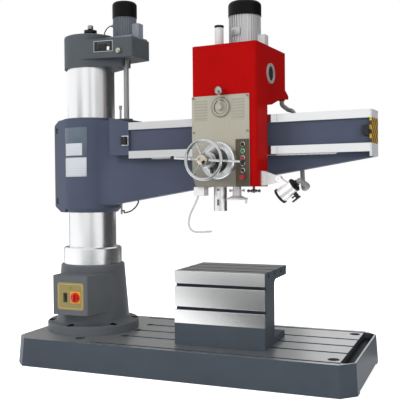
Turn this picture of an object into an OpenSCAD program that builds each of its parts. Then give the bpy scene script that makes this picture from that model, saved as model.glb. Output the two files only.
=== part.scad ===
// Radial arm drilling machine: a column that swings, an arm that lifts, a drill head that travels.
// Millimetres. X runs along the base, Y to the back, Z up. The column stands on the origin.
// Everything above the pedestal is drawn with the arm along X and then swung about the column.

/* [Base plate] */
// Length along X
base_length = 2390; // [2000:10:2800]
// Width along Y
base_width = 1030; // [940:10:1300]
// Height above the floor
base_height = 195; // [160:5:260]
// Column axis to the left end
base_left = 352; // [346:1:420]
// How far the walls lean out at the floor
base_draft = 12; // [4:1:20]
// Corner chamfer
base_chamfer = 90; // [50:5:120]
// Spacing of the three slots
slot_pitch = 206; // [170:2:225]
// Mouth width of the slots
slot_mouth = 28; // [18:1:32]
// Radius of the foundation bolt holes
foundation_r = 17; // [12:0.5:20]

/* [Work table] */
// Width along X
table_width = 630; // [520:10:700]
// Depth of the top along Y
table_depth = 530; // [460:10:600]
// Height
table_height = 495; // [420:5:550]
// Left face
table_left = 816; // [740:2:900]
// Column axis to the front face
table_front = 326; // [300:2:380]
// Thickness of the front block
table_web = 225; // [180:5:260]
// Thickness of the top
table_top_t = 63; // [55:1:90]
// Thickness of the foot
table_foot_t = 45; // [30:1:70]
// Mouth width of the table slots
table_slot = 22; // [14:1:24]

/* [Column] */
// Outer diameter
column_d = 350; // [320:2:370]
// Height of the pedestal above the base
pedestal_h = 489; // [430:1:520]
// Radius of the pedestal flange
flange_r = 340; // [320:1:344]
// Height of the pedestal flange
flange_h = 65; // [45:1:90]
// Radius of the ground ring at the column foot
ring_r = 215; // [198:1:225]
// Height of the ground ring
ring_h = 123; // [80:1:150]
// Visible column from the pedestal to the cap
column_rise = 1446; // [1400:1:1600]
// Radius of the cap
cap_r = 195; // [188:1:215]
// Height of the cap
cap_h = 240; // [225:1:280]
// Reach of the cap box along the arm
cap_reach = 445; // [420:1:480]

/* [Arm] */
// Swing of the arm about the column, degrees
arm_swing = -5.3; // [-40:0.1:40]
// Underside of the sleeve above the floor
arm_height = 1067; // [1000:1:1110]
// Height of the sleeve
sleeve_h = 691; // [650:1:710]
// Wall of the sleeve
sleeve_wall = 40; // [30:1:44]
// Column axis to the end of the arm
arm_reach = 2141; // [2060:1:2400]
// Column axis to the front of the ways
way_front = 188; // [180:1:200]
// Spacing of the two ways
way_pitch = 200; // [180:1:220]
// Height of each way
way_h = 51; // [44:1:60]
// Thickness of each way
way_t = 20; // [16:1:26]
// Rise of the underside of the arm from the column to its end
arm_rise = 339; // [280:1:350]

/* [Drill head] */
// Column axis to the left side of the head
head_left = 1065; // [1000:1:1140]
// Width of the head
head_w = 444; // [430:1:480]
// Height of the head
head_h = 885; // [870:1:940]
// Lower way to the underside of the head
head_drop = 204; // [190:1:220]
// Depth of the head in front of the ways
head_reach = 212; // [205:1:240]
// Overhang of the head behind the column axis
head_back = 100; // [80:1:120]
// Wall thickness
head_wall = 16; // [10:1:20]
// Width of the front panel
panel_w = 392; // [385:1:410]
// Height of the front panel
panel_h = 568; // [540:1:600]

/* [Spindle] */
// Diameter of the nose
nose_d = 84; // [70:1:92]
// Head underside to the nose face
nose_drop = 154; // [120:1:180]
// Diameter of the quill
quill_d = 100; // [96:1:108]
// Feed stroke of the quill
quill_travel = 315; // [200:5:320]
// Radius of the taper at its mouth
taper_mouth_r = 22.2; // [15:0.1:23]
// Depth of the taper
taper_depth = 136; // [90:1:140]

/* [Controls] */
// Diameter of the traverse handwheel
wheel_d = 252; // [200:2:300]
// Diameter of the wheel rim bar
wheel_bar_d = 20; // [14:1:24]
// Diameter of the feed dial
drum_d = 230; // [180:2:240]
// Feed lever ball to ball
lever_span = 440; // [360:2:480]
// Diameter of the lever balls
lever_ball_d = 28; // [20:1:34]
// Diameter of the fine feed wheel
fine_wheel_d = 136; // [100:2:140]
// Radius of the speed dial
dial_r = 62; // [45:1:66]
// Diameter of the ball on the speed lever
speed_ball_d = 54; // [36:1:60]
// Radius of a push button
button_r = 11; // [8:0.5:12]
// Radius of the stop button
stop_r = 16; // [12:0.5:18]

/* [Motors] */
// Diameter of the main motor over its fins
main_motor_d = 208; // [200:2:240]
// Height of the main motor body
main_motor_h = 195; // [150:1:240]
// Height of the main motor cowl
main_cowl_h = 94; // [80:1:160]
// Diameter of the lift motor over its fins
lift_motor_d = 176; // [160:2:210]
// Height of the lift motor body
lift_motor_h = 167; // [140:1:220]
// Height of the lift motor cowl
lift_cowl_h = 118; // [90:1:150]

/* [Lamp] */
// Diameter of the shade at its mouth
lamp_d = 90; // [70:1:100]
// Length of the shade
lamp_len = 112; // [90:1:130]
// Aim of the lamp, degrees from straight up
lamp_aim = -127; // [-150:1:-110]
// Radius of the lamp conduit
conduit_r = 15; // [10:0.5:17]

/* [Hidden] */
$fn = 72;
right_angle = 90;
half_turn = 180;
full_turn = 360;
half_share = 0.5;
over = 5;
run_fit = 0.06;
swing_gap = 0.5;
slide_gap = 0.5;
free_gap = 0.4;
lap = 1;
bevel_share = 0.8;
rise_share = 0.65;
c_cast = [0.20, 0.22, 0.25];
c_arm = [0.30, 0.33, 0.40];
c_red = [0.69, 0.07, 0.07];
c_steel = [0.80, 0.81, 0.83];
c_dark = [0.12, 0.12, 0.13];
c_black = [0.05, 0.05, 0.05];
c_panel = [0.66, 0.65, 0.60];
c_white = [0.90, 0.90, 0.88];
c_bronze = [0.72, 0.52, 0.28];
c_green = [0.10, 0.50, 0.20];
c_grey = [0.50, 0.51, 0.53];
c_olive = [0.36, 0.36, 0.32];

// Base plate
base_x0 = -base_left;
base_x1 = base_length - base_left;
base_y = base_width / 2;
base_deck = 75;
base_skin = 48;
base_rib = 64;
base_bays = 4;
slot_neck = 28;
slot_foot_extra = 20;
slot_foot_w = slot_mouth + slot_foot_extra;
slot_foot_h = 19;
slot_gap = 34;
slot_start = flange_r + slot_gap;
slot_entry_room = 4;
slot_entry_r = slot_foot_w / 2 + slot_entry_room;
trough_w = 78;
trough_d = 40;
trough_in = 12;
trough_x1 = base_x1 - trough_in;
trough_x0 = trough_x1 - trough_w;
channel_w = 26;
channel_d = 16;
channel_in = 52;
channel_y = base_y - channel_in;
trough_cut = base_chamfer + trough_in * sqrt(2) - trough_in - channel_in;
channel_x0 = 240;
foundation_in_y = 130;
foundation_in_x = 143;
foundation_left = 115;
foundation_y = base_y - foundation_in_y;
foundation_x = base_x1 - foundation_in_x;
foundation_well_r = 36;
foundation_well_d = 24;
foot_notch_h = 11;
foot_notch_w = 90;
foot_notch_in = 150;

// Pedestal and switch box
ped_top = base_height + pedestal_h;
flange_z = base_height + flange_h;
ped_low_r = 268;
ped_high_r = 236;
ped_fillet = 26;
ped_lip = 8;
ped_wall = 34;
ped_socket_wall = 18;
ped_roof = 46;
ped_bolts = 6;
ped_bolt_r = 15;
ped_bolt_in = 32;
ped_bolt_circle = flange_r - ped_bolt_in;
ped_bolt_turn = 28;
ped_bolt_head_r = 22;
ped_bolt_head_h = 18;
ped_bolt_well = 25;
ped_well_d = 36;
ped_seat_z = flange_z - ped_well_d;
ped_well_h = 60;
box_x0 = -124;
box_x1 = 165;
box_front = 360;
box_lift = 151;
box_h = 280;
box_side_x = 242;
box_side_y = -63;
box_z0 = base_height + box_lift;
box_z1 = box_z0 + box_h;
box_round = 14;
knob_x = 68;
knob_up = 128;
knob_z = box_z0 + knob_up;
knob_r = 25;
knob_h = 24;
knob_grip_w = 14;
knob_grip_h = 20;
knob_stem_r = 4;

// Work table
table_x1 = table_left + table_width;
table_y0 = -table_front;
table_y1 = table_depth - table_front;
table_z0 = base_height;
table_z1 = base_height + table_height;
table_foot_in = 52;
table_foot_y = table_y1 - table_foot_in;
table_wall = 50;
table_slot_neck = 20;
table_slot_extra = 15;
table_slot_foot_w = table_slot + table_slot_extra;
table_slot_foot_h = 15;
table_slots = 3;
table_slot_step = 150;
table_front_slots = 2;
table_front_step = 155;
table_front_top = 95;
table_fillet = 36;
table_slot_edge = 90;
table_bolt_r = 10;
table_bolt_hole_r = 11.5;
table_nut_r = 18;
table_nut_h = 18;
table_bolt_in = 110;
table_head_in = 1;

// Column
col_r = column_d / 2;
col_wall = 29;
bearing_room = 11;
inner_r = col_r - col_wall - bearing_room;
inner_wall = 34;
inner_bore_r = inner_r - inner_wall;
col_bore_r = col_r - col_wall;
cap_z = ped_top + column_rise;
cap_socket = 22;
col_z0 = ped_top + swing_gap;
col_z1 = cap_z + cap_socket;
bearing_h = 60;
bearing_inset = 16;
inner_top_gap = 40;
inner_z1 = col_z1 - inner_top_gap;
ring_chamfer = 8;

// Cap
cap_top = cap_z + cap_h;
cap_skirt = 50;
cap_floor_z = cap_z + cap_skirt;
cap_box_up = 190;
cap_box_top = cap_z + cap_box_up;
cap_box_y = 120;
cap_neck_y = 60;
cap_wall = 12;
cap_floor_t = 24;
cap_roof = 28;
cap_hole_r = 34;
trip_room = 4;
cap_round = 12;
cover_r = 48;
cover_body_r = 36;
cover_flange_t = 18;
cover_h = 58;
cover_knob_r = 21;
cover_knob_h = 40;
cover_neck_r = 12;
cover_neck_h = 6;

// Lift drive
screw_x = 316;
screw_r = 20;
lift_mod = 2;
lift_gear_z = 66;
lift_pinion_z = 22;
lift_gear_t = 24;
lift_dist = lift_mod * (lift_gear_z + lift_pinion_z) / 2;
lift_turn = 128;
lift_motor_x = screw_x + lift_dist * cos(lift_turn);
lift_motor_y = lift_dist * sin(lift_turn);
gear_room_z = cap_floor_z + cap_floor_t;
gear_room_x0 = 226;
screw_bearing_r = 42;
screw_bearing_seat = 12;
screw_bearing_h = 26;
screw_collar_r = 30;
screw_collar_h = 10;
screw_bearing_z = gear_room_z - screw_bearing_seat;
screw_collar_z = screw_bearing_z + screw_bearing_h + free_gap;
lift_gear_z0 = screw_collar_z + screw_collar_h;
screw_end = 8;
screw_top = lift_gear_z0 + lift_gear_t + screw_end;
screw_seat_r = 16;
lift_shaft_r = 12;
lift_face_extra = 3;
lift_plate_t = 15;
lift_body_z = cap_box_top + lift_plate_t;
lift_body_top = lift_body_z + lift_motor_h;
lift_shaft_in = 60;
motor_fins = 36;
fin_t = 3.2;
fin_h = 10;
lift_core_r = lift_motor_d / 2 - fin_h;
cowl_over = 3;
cowl_round = 26;
cowl_shell = 4;
lift_box_x = 62;
lift_box_y = 62;
lift_box_z = 104;
lift_box_lift = 10;

// Arm
sleeve_r = col_r + sleeve_wall;
sleeve_cut = 24;
sleeve_cut_h = 30;
sleeve_edge = 5;
arm_z0 = arm_height;
arm_z1 = arm_height + sleeve_h;
way_rise = 385;
way_low = arm_height + way_rise;
way_up = way_low + way_pitch;
way_lap = 23;
way_x0 = 451;
beam_z0 = way_low + way_lap;
beam_z1 = way_up + way_h - way_lap;
beam_front = -(way_front - way_t);
beam_back_tip = -22;
beam_back_root = 132;
beam_root_x = 452;
beam_wall = 20;
beam_hollow_x0 = 540;
web_front = -110;
web_back = -16;
root_round = 120;
web_up = 18;
web_root_z = arm_height + web_up;
web_tip_z = web_root_z + arm_rise;
root_y = web_front - root_round;
root_x = sqrt(pow(sleeve_r + root_round, 2) - pow(root_y, 2));
root_z = web_root_z + arm_rise * root_x / arm_reach;
block_x0 = 290;
nut_house_x0 = 120;
block_drop = 14;
block_top = arm_z1 - block_drop;
nut_house_x1 = 385;
block_lip = 8;
nut_house_back = 104;
nut_house_drop = 8;
nut_house_top = block_top - nut_house_drop;
arm_cut_top = max(arm_z1, beam_z1) + over;
ear_out = 77;
ear_y = 74;
ear_inset_low = 36;
ear_inset_top = 32;
ear_split = 10;
ear_corner = 12;
clamp_seat_r = 22;
clamp_bolt_r = 12;
clamp_head_r = 19;
clamp_head_h = 16;
clamp_bolt_in = 46;
clamp_bolt_out = 45;
screw_room = 6;
screw_hole_r = screw_r + screw_room;
nut_r = 38;
nut_flange_r = 45;
nut_flange_t = 14;
nut_h = 116;
nut_fit = 0.3;
nut_z0 = nut_house_top - nut_h;
screw_tail = 270;
screw_z0 = nut_z0 - screw_tail;
rod_x_at = 262;
rod_r = 7;
rod_head_r = 11;
rod_head_h = 26;
rod_up = 92;
rod_down = 16;
rod_top = arm_z1 + rod_up;
rod_low = arm_height - rod_down;
end_plate_t = 12;
bumper_w = 38;
bumper_h = 60;
bumper_d = 44;
limit_x0 = 401;
limit_w = 42;
limit_h = 56;
limit_d = 26;
limit_up = 97;
limit_z = way_low + limit_up;
rack_body = 28;
rack_w = 25;
rack_front = -146;
rack_mod = 2.5;
wheel_teeth = 28;
wheel_pitch_r = rack_mod * wheel_teeth / 2;
rack_line_z = beam_z0 - rack_body - rack_mod;
feed_z = rack_line_z - wheel_pitch_r;
rack_reach_left = 660;
rack_reach_right = 660;
hose_r = 5;
hose_sides = 10;
hose_x = 447;
hose_y = -62;
hose_end_up = 10;
hose_top = [hose_x, hose_y, web_root_z + arm_rise * hose_x / arm_reach - free_gap];
hose_end = [rod_x_at + rod_r + lap, 0, arm_height + hose_end_up];
hose_fall = [[0, 0, 0], [0, 0, -8], [0, 0, -16], [-26, 6, -48], [-74, 16, -78]];
hose_run = [[34, -24, -14], [16, 0, 0], [8, 0, 0], [0, 0, 0]];

// Head
head_x0 = head_left;
head_x1 = head_left + head_w;
head_y0 = -(way_front + head_reach);
head_z0 = way_low - head_drop;
head_z1 = head_z0 + head_h;
head_cover_t = 15;
head_top = head_z1 - head_cover_t;
rear_gap = 37;
saddle_gap = 1;
head_rear = -(way_front + rear_gap);
saddle_in = 15;
saddle_back = -(way_front + saddle_gap);
saddle_drop = 78;
saddle_z0 = way_low - saddle_drop;
head_round = 24;
hang_up = 66;
hang_z = way_up + way_h + hang_up;
hang_rise = 64;
hang_lip = 62;
hang_lip_z = 56;
hang_lip_share = 0.4;
hang_pad = 42;
floor_up = 66;
floor_z = hang_z + floor_up;
floor_t = 22;
bottom_t = 22;
window_in = 26;
window_low = 22;
window_top = 40;
keeper_t = 17;
keeper_in = 28;
keeper_clear = 0.6;
keeper_low_h = 20;
wiper_len = 64;
wiper_t = 7;
sight_y = -171;
sight_drop = 170;
sight_z = head_z1 - sight_drop;
sight_r = 64;
sight_glass_r = 46;
sight_t = 9;
sight_glass_t = 5;
panel_t = 8;
panel_in = 6;
panel_cut = 24;
panel_cut_up = 72;
corner_w = panel_in + panel_cut;
corner_h = panel_cut_up * corner_w / panel_cut;
panel_face = head_y0 - panel_t;

// Spindle and quill
spindle_in_x = 143;
spindle_in_y = 115;
sp_x = head_x0 + spindle_in_x;
sp_y = head_y0 + spindle_in_y;
nose_r = nose_d / 2;
nose_z = head_z0 - nose_drop;
quill_r = quill_d / 2;
quill_up = 7;
nose_gap = 5;
quill_z0 = head_z0 + quill_up;
quill_len = 565;
quill_relief = 4;
quill_z1 = quill_z0 + quill_len;
quill_bore_r = 31;
bearing_seat_r = 39;
bearing_seat_h = 46;
bearing_seat_in = 7;
shaft_r = 27;
shaft_collar_r = 31;
collar_h = 10;
spline_r = 18;
spline_tip_r = 21.5;
spline_w = 8;
spline_n = 6;
spline_clear = 0.3;
spindle_up = 116;
spindle_top = head_z1 + spindle_up;
taper_share = 1 / 38.004;
drift_w = 16;
drift_h = 38;
drift_up = 36;
drift_z = nose_z + drift_up;
drift_up_h = 14;
drift_drop = 24;
drift_up_z = head_z0 - drift_drop;
drift_turn = -arm_swing;
feed_mod = 2.5;
feed_teeth = 16;
feed_pitch_r = feed_mod * feed_teeth / 2;
quill_rack_in = 6;
quill_rack_line = quill_r - quill_rack_in;
feed_x = sp_x + quill_rack_line + feed_pitch_r;
quill_rack_w = 35;
quill_rack_back = 8;
quill_rack_low = 30;
quill_rack_up = 34;
quill_rack_z0 = feed_z - quill_rack_low;
quill_rack_z1 = feed_z + quill_travel + quill_rack_up;
rack_side_clear = 0.05;
boss_wall = 9;
boss_low_h = 122;
boss_up = 36;
boss_up_z = feed_z + boss_up;
boss_up_h = 54;
guard_r = 28;
guard_wall = 3;
guard_h = 128;
guard_cap_r = 30;
guard_cap_h = 13;

// Gear train in the head
gear_mod = 3;
motor_teeth = 20;
lay_big_teeth = 48;
lay_small_teeth = 22;
drive_teeth = 44;
motor_pitch_r = gear_mod * motor_teeth / 2;
lay_big_r = gear_mod * lay_big_teeth / 2;
lay_small_r = gear_mod * lay_small_teeth / 2;
drive_pitch_r = gear_mod * drive_teeth / 2;
motor_dx = 120;
motor_dy = 135;
motor_x = sp_x + motor_dx;
motor_y = sp_y + motor_dy;
motor_dist = norm([motor_dx, motor_dy]);
lay_far = motor_pitch_r + lay_big_r;
lay_near = lay_small_r + drive_pitch_r;
lay_along = (lay_near * lay_near - lay_far * lay_far + motor_dist * motor_dist) / (2 * motor_dist);
lay_off = sqrt(lay_near * lay_near - lay_along * lay_along);
lay_x = sp_x + (motor_dx * lay_along + motor_dy * lay_off) / motor_dist;
lay_y = sp_y + (motor_dy * lay_along - motor_dx * lay_off) / motor_dist;
drive_gap = 22;
drive_z = floor_z + floor_t + drive_gap;
drive_t = 30;
drive_hub_r = 34;
drive_hub_h = 50;
drive_seat_r = 28;
lay_shaft_r = 13;
high_up = 108;
high_z = drive_z + high_up;
face_extra = 3;
lay_gap = 8;
lay_top = head_top - lay_gap;
motor_shaft_r = 14;
motor_shaft_in = 90;
pilot_r = 46;

// Motors on the head
main_flange_r = 122;
main_flange_t = 15;
main_core_r = main_motor_d / 2 - fin_h;
main_body_z = head_z1 + main_flange_t;
main_body_top = main_body_z + main_motor_h;
main_box_x = 56;
main_box_y = 60;
main_box_z = 66;

// Feed and traverse controls
feed_shaft_r = 14;
feed_bore_r = 9.1;
wheel_shaft_r = 9;
feed_tail = 4;
feed_face_in = 2;
feed_rear = sp_y + quill_rack_w / 2 + feed_tail;
drum_gap = 5;
drum_edge = 3;
drum_back = panel_face - drum_gap;
drum_t = 56;
drum_front = drum_back - drum_t;
drum_round = 7;
hub_big_r = 76;
hub_small_r = 48;
hub_cone = 110;
hub_barrel = 46;
hub_edge = 4;
hub_flare = 10;
stop_knob_share = 0.62;
hub_nose_y = drum_front - hub_cone - hub_barrel;
lever_in = 16;
lever_y = hub_nose_y + lever_in;
lever_r = 6.5;
lever_tilt = 4;
lever_root = 40;
wheel_gap = 0.5;
wheel_out = 26;
wheel_y = hub_nose_y - wheel_out;
wheel_rim_r = wheel_d / 2 - wheel_bar_d / 2;
wheel_bar_r = wheel_bar_d / 2;
wheel_hub_r = 35;
wheel_hub_h = 44;
wheel_dome_h = 20;
wheel_dome_r = 22;
dome_shares = [[1.36, 0.5], [0.73, 0.9], [0, 1]];
wheel_spokes = 3;
wheel_spoke_r = 7;
wheel_spoke_turn = 115;
stop_knob_r = 11;
stop_knob_off = 62;
stop_knob_out = 18;
wheel_shaft_rear = rack_front + rack_w;

// Speed lever
dial_in = 210;
dial_up = 493;
dial_x = head_x0 + dial_in;
dial_z = head_z0 + dial_up;
dial_t = 10;
dial_inner_r = 44;
dial_step = 4;
dial_edge = 2;
speed_hub_r = 19;
speed_ball_gap = 3;
speed_out = speed_ball_d / 2 + speed_ball_gap;
speed_stem_r = 7;
speed_hub_h = speed_out + speed_stem_r;
speed_ball_up = 101;

// Buttons
plate_in = 308;
plate_w = 89;
plate_up = 3;
plate_h = 289;
plate_x0 = head_x0 + plate_in;
plate_x1 = plate_x0 + plate_w;
plate_z0 = head_z0 + plate_up;
plate_z1 = plate_z0 + plate_h;
plate_t = 3;
plate_face = panel_face - plate_t;
button_off = 5;
button_up = 55;
button_x = (plate_x0 + plate_x1) / 2 + button_off;
button_low = plate_z0 + button_up;
button_span = 201;
button_shares = [0, 0.21, 0.413, 0.587, 0.796, 1];
bezel_h = 4;
bezel_wall = 4;
button_out = 7;
button_gap = 0.3;
stop_out = 14;
stop_head_h = 9;

// Underside
fine_in_x = 266;
fine_in_y = 100;
fine_x = head_x0 + fine_in_x;
fine_y = head_y0 + fine_in_y;
fine_shaft_r = 10;
fine_boss_r = 26;
fine_boss_h = 13;
fine_hub_r = 28;
fine_hub_h = 44;
fine_hub_z1 = head_z0 - fine_boss_h - free_gap;
fine_dish = 22;
fine_rim_r = 6;
fine_knob_r = 7;
fine_knob_h = 26;
fine_stud_r = 4;
fine_ball_r = 9;
fine_ball_out = 46;
fine_ball_drop = 11;
shift_in_x = 381;
shift_x = head_x0 + shift_in_x;
shift_stem_r = 8;
shift_drop = 27;
shift_hub_r = 13;
shift_arm = 36;
shift_arm_r = 5;
shift_ball_r = 10;
shift_in = 16;
coolant_in_x = 3;
coolant_in_y = 15;
coolant_x0 = head_x0 + coolant_in_x;
coolant_w = 72;
coolant_d = 64;
coolant_y0 = head_y0 + coolant_in_y;
coolant_y1 = coolant_y0 + coolant_d;
coolant_h = 56;
coolant_pipe_r = 6;
pipe_sides = 12;
pipe_in_x = 12;
pipe_drop = 232;
pipe_top = [coolant_x0 + pipe_in_x, (coolant_y0 + coolant_y1) / 2, head_z0 - coolant_h];
// Sideways and down, of the drop
pipe_shares = [[0, 0], [0, -0.02], [0, -0.04], [-0.05, -0.15], [-0.16, -0.36], [-0.25, -0.54], [-0.29,
    -0.72], [-0.28, -0.845], [-0.215, -0.95], [-0.095, -1], [0.05, -1], [0.225, -0.99], [0.415, -0.975]];

// Lamp
bracket_in = 62;
bracket_len = 88;
bracket_mid_in = 100;
ear_up = 46;
bracket_y0 = head_y0 + bracket_in;
bracket_y1 = bracket_y0 + bracket_len;
bracket_mid = head_y0 + bracket_mid_in;
bracket_half = 12;
bracket_foot_t = 8;
bracket_top = 96;
bracket_low = 6;
ear_dx = 104;
ear_z = head_z0 + ear_up;
ear_r = 20;
ear_pin_r = 6;
pivot_x = head_x1 + ear_dx;
strap_t = 6;
strap_gap = 0.4;
strap_w = 13;
strap_share = 0.9;
strap_shares = [[-0.4, -1], [3.4, -4.4], [5.2, -2.6], [0.4, 1]];
lamp_out = 94;
lamp_drop = 41;
lamp_back_x = pivot_x + lamp_out;
lamp_back_z = ear_z - lamp_drop;
lamp_back_r = 41;
lamp_wall = 3;
lamp_rim_w = 6;
lamp_rim_h = 12;
lamp_cap_h = 16;
lamp_cap_r = 43;
lamp_gland_r = 20;
lamp_gland_h = 14;
lamp_lens_in = 14;
lamp_lens_t = 4;
conduit_sides = 12;
conduit_gap = 1;
conduit_lead = 9;
gland_in = 34;
gland_back = 26;
gland_wall = 5;
gland_h = 12;
gland_at = [head_x1 - gland_in, head_back + gland_back, hang_z + hang_rise - gland_h];
lamp_dir = -[sin(lamp_aim), 0, cos(lamp_aim)];
lamp_tail = [lamp_back_x, bracket_mid, lamp_back_z] + (lamp_cap_h + lamp_gland_h + conduit_gap) * lamp_dir;
// From the lamp's pivot, then from the gland
conduit_run = [[148, 96, -42], [114, 180, -58], [72, 260, -62], [42, 330, -44], [24, 372, 14], [10,
    396, 130], [-8, 410, 290], [-52, 420, 440]];
conduit_rise = [[44, 0, -60], [6, 0, -30], [0, 0, -12], [0, 0, -6], [0, 0, 0]];

// Helpers
module block(a, b) translate(a) cube(b - a);
module post(r, z0, z1) translate([0, 0, z0]) cylinder(r = r, h = z1 - z0);
module bar_y(r, y0, y1) translate([0, y0, 0]) rotate([-right_angle, 0, 0]) cylinder(r = r, h = y1 - y0);
module bar_x(r, x0, x1) translate([x0, 0, 0]) rotate([0, right_angle, 0]) cylinder(r = r, h = x1 - x0);
// A drawing in X and Y, run up Z
module along_z(z0, z1) translate([0, 0, z0]) linear_extrude(z1 - z0) children();
// A drawing in X and Z, run along Y
module along_y(y0, y1) translate([0, y1, 0]) rotate([right_angle, 0, 0]) linear_extrude(y1 - y0) children();
// A drawing in Y and Z, run along X
module along_x(x0, x1) translate([x0, 0, 0]) rotate([right_angle, 0, right_angle])
    linear_extrude(x1 - x0) children();
// A profile of radius and length, turned about an axis that points to the front
module turned_front(y) translate([0, y, 0]) rotate([right_angle, 0, 0]) rotate_extrude() children();
// A rectangle with round corners
module soft_rect(a, b, r) {
    translate([a[0] + r, a[1]]) square([b[0] - a[0] - 2 * r, b[1] - a[1]]);
    translate([a[0], a[1] + r]) square([b[0] - a[0], b[1] - a[1] - 2 * r]);
    for (x = [a[0] + r, b[0] - r], y = [a[1] + r, b[1] - r])
        translate([x, y]) circle(r);
}
// Everything that turns with the column
module swung() rotate([0, 0, arm_swing]) children();

// Involute gears. A tooth of gear_outline stands on +X; backlash thins each tooth.
pressure = 20;
dedendum_share = 1.25;
backlash_share = 0.07;
flank_steps = 3;
function involute(a) = tan(a) * half_turn / PI - a;
function flank_angle(m, z, r) =
    let (base = m * z / 2 * cos(pressure), a = acos(min(1, base / r)))
    (right_angle / z) * (1 - backlash_share) + involute(pressure) - involute(a);
function flank_radius(m, z, i) =
    let (tip = m * z / 2 + m, low = max(m * z / 2 - m, m * z / 2 * cos(pressure)))
    low + (tip - low) * i / flank_steps;
function polar(r, a) = [r * cos(a), r * sin(a)];
function gear_outline(m, z) =
    let (root = m * z / 2 - dedendum_share * m, first = flank_angle(m, z, flank_radius(m, z, 0)))
    [for (k = [0:z - 1]) let (c = k * full_turn / z) each concat([polar(root, c - first)],
        [for (i = [0:flank_steps]) let (r = flank_radius(m, z, i)) polar(r, c - flank_angle(m, z, r))],
        [for (i = [flank_steps:-1:0]) let (r = flank_radius(m, z, i)) polar(r, c + flank_angle(m, z, r))],
        [polar(root, c + first)])];
module gear(m, z, z0, z1) along_z(z0, z1) polygon(gear_outline(m, z));
// Turn of a gear that meshes with one whose tooth stands at turn_a, seen from it at angle toward
function mesh_turn(za, turn_a, zb, toward) =
    toward + half_turn - (full_turn / zb) * (half_share - (toward - turn_a) * za / full_turn);
// Rack teeth along the first axis, a gap standing on zero, tips at +m of the second
function rack_tooth(m, c) =
    let (half = m * PI / 4 * (1 - backlash_share), tip = half - m * tan(pressure),
        low = half + dedendum_share * m * tan(pressure))
    [[c - low, -dedendum_share * m], [c - tip, m], [c + tip, m], [c + low, -dedendum_share * m]];
function rack_outline(m, from, to, back) =
    let (pitch = m * PI, first = ceil((from + pitch / 2) / pitch), last = floor((to - pitch / 2) / pitch))
    concat([[from, -back], [from, -dedendum_share * m]],
        [for (k = [first:last - 1]) each rack_tooth(m, (k + half_share) * pitch)],
        [[to, -dedendum_share * m], [to, -back]]);

// A round tube swept along a smooth line through points
tube_steps = 4;
function spline_at(p, i, t) =
    let (n = len(p), a = p[max(i - 1, 0)], b = p[i], c = p[min(i + 1, n - 1)], d = p[min(i + 2, n - 1)])
    (2 * b + (c - a) * t + (2 * a - 5 * b + 4 * c - d) * t * t + (3 * b - a - 3 * c + d) * t * t * t) / 2;
function smooth_line(p) = concat(
    [for (i = [0:len(p) - 2], s = [0:tube_steps - 1]) spline_at(p, i, s / tube_steps)], [p[len(p) - 1]]);
function unit(v) = v / norm(v);
function line_dir(q, i) = unit(q[min(i + 1, len(q) - 1)] - q[max(i - 1, 0)]);
function carried(u, t) = unit(u - t * (u * t));
function frames(q, i, u) = i >= len(q) ? [] : let (w = carried(u, line_dir(q, i)))
    concat([w], frames(q, i + 1, w));
module tube(points, r, sides, side) {
    q = smooth_line(points);
    u = frames(q, 0, side);
    n = len(q);
    ring = [for (i = [0:n - 1], k = [0:sides - 1]) let (v = cross(line_dir(q, i), u[i]))
        q[i] + r * (u[i] * cos(k * full_turn / sides) + v * sin(k * full_turn / sides))];
    walls = [for (i = [0:n - 2], k = [0:sides - 1]) let (j = (k + 1) % sides)
        [i * sides + k, (i + 1) * sides + k, (i + 1) * sides + j, i * sides + j]];
    polyhedron(ring, concat([[for (k = [0:sides - 1]) k]], walls,
        [[for (k = [sides - 1:-1:0]) (n - 1) * sides + k]]), convexity = sides);
}

// Base plate
function base_outline(grow) =
    let (x0 = base_x0 - grow, x1 = base_x1 + grow, y = base_y + grow, c = base_chamfer)
    [[x0 + c, -y], [x1 - c, -y], [x1, c - y], [x1, y - c], [x1 - c, y], [x0 + c, y], [x0, y - c], [x0,
        c - y]];
module base_body() {
    low = base_outline(base_draft);
    high = base_outline(0);
    n = len(low);
    polyhedron(concat([for (p = low) [p[0], p[1], 0]], [for (p = high) [p[0], p[1], base_height]]),
        concat([[for (k = [0:n - 1]) k]], [for (k = [0:n - 1]) let (j = (k + 1) % n) [k, n + k, n + j, j]],
            [[for (k = [n - 1:-1:0]) n + k]]), convexity = 2);
}
module t_slot_x(x0, x1, y, top, mouth, neck, foot_w, foot_h) {
    block([x0, y - mouth / 2, top - neck - foot_h], [x1, y + mouth / 2, top + over]);
    block([x0, y - foot_w / 2, top - neck - foot_h], [x1, y + foot_w / 2, top - neck]);
}
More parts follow.
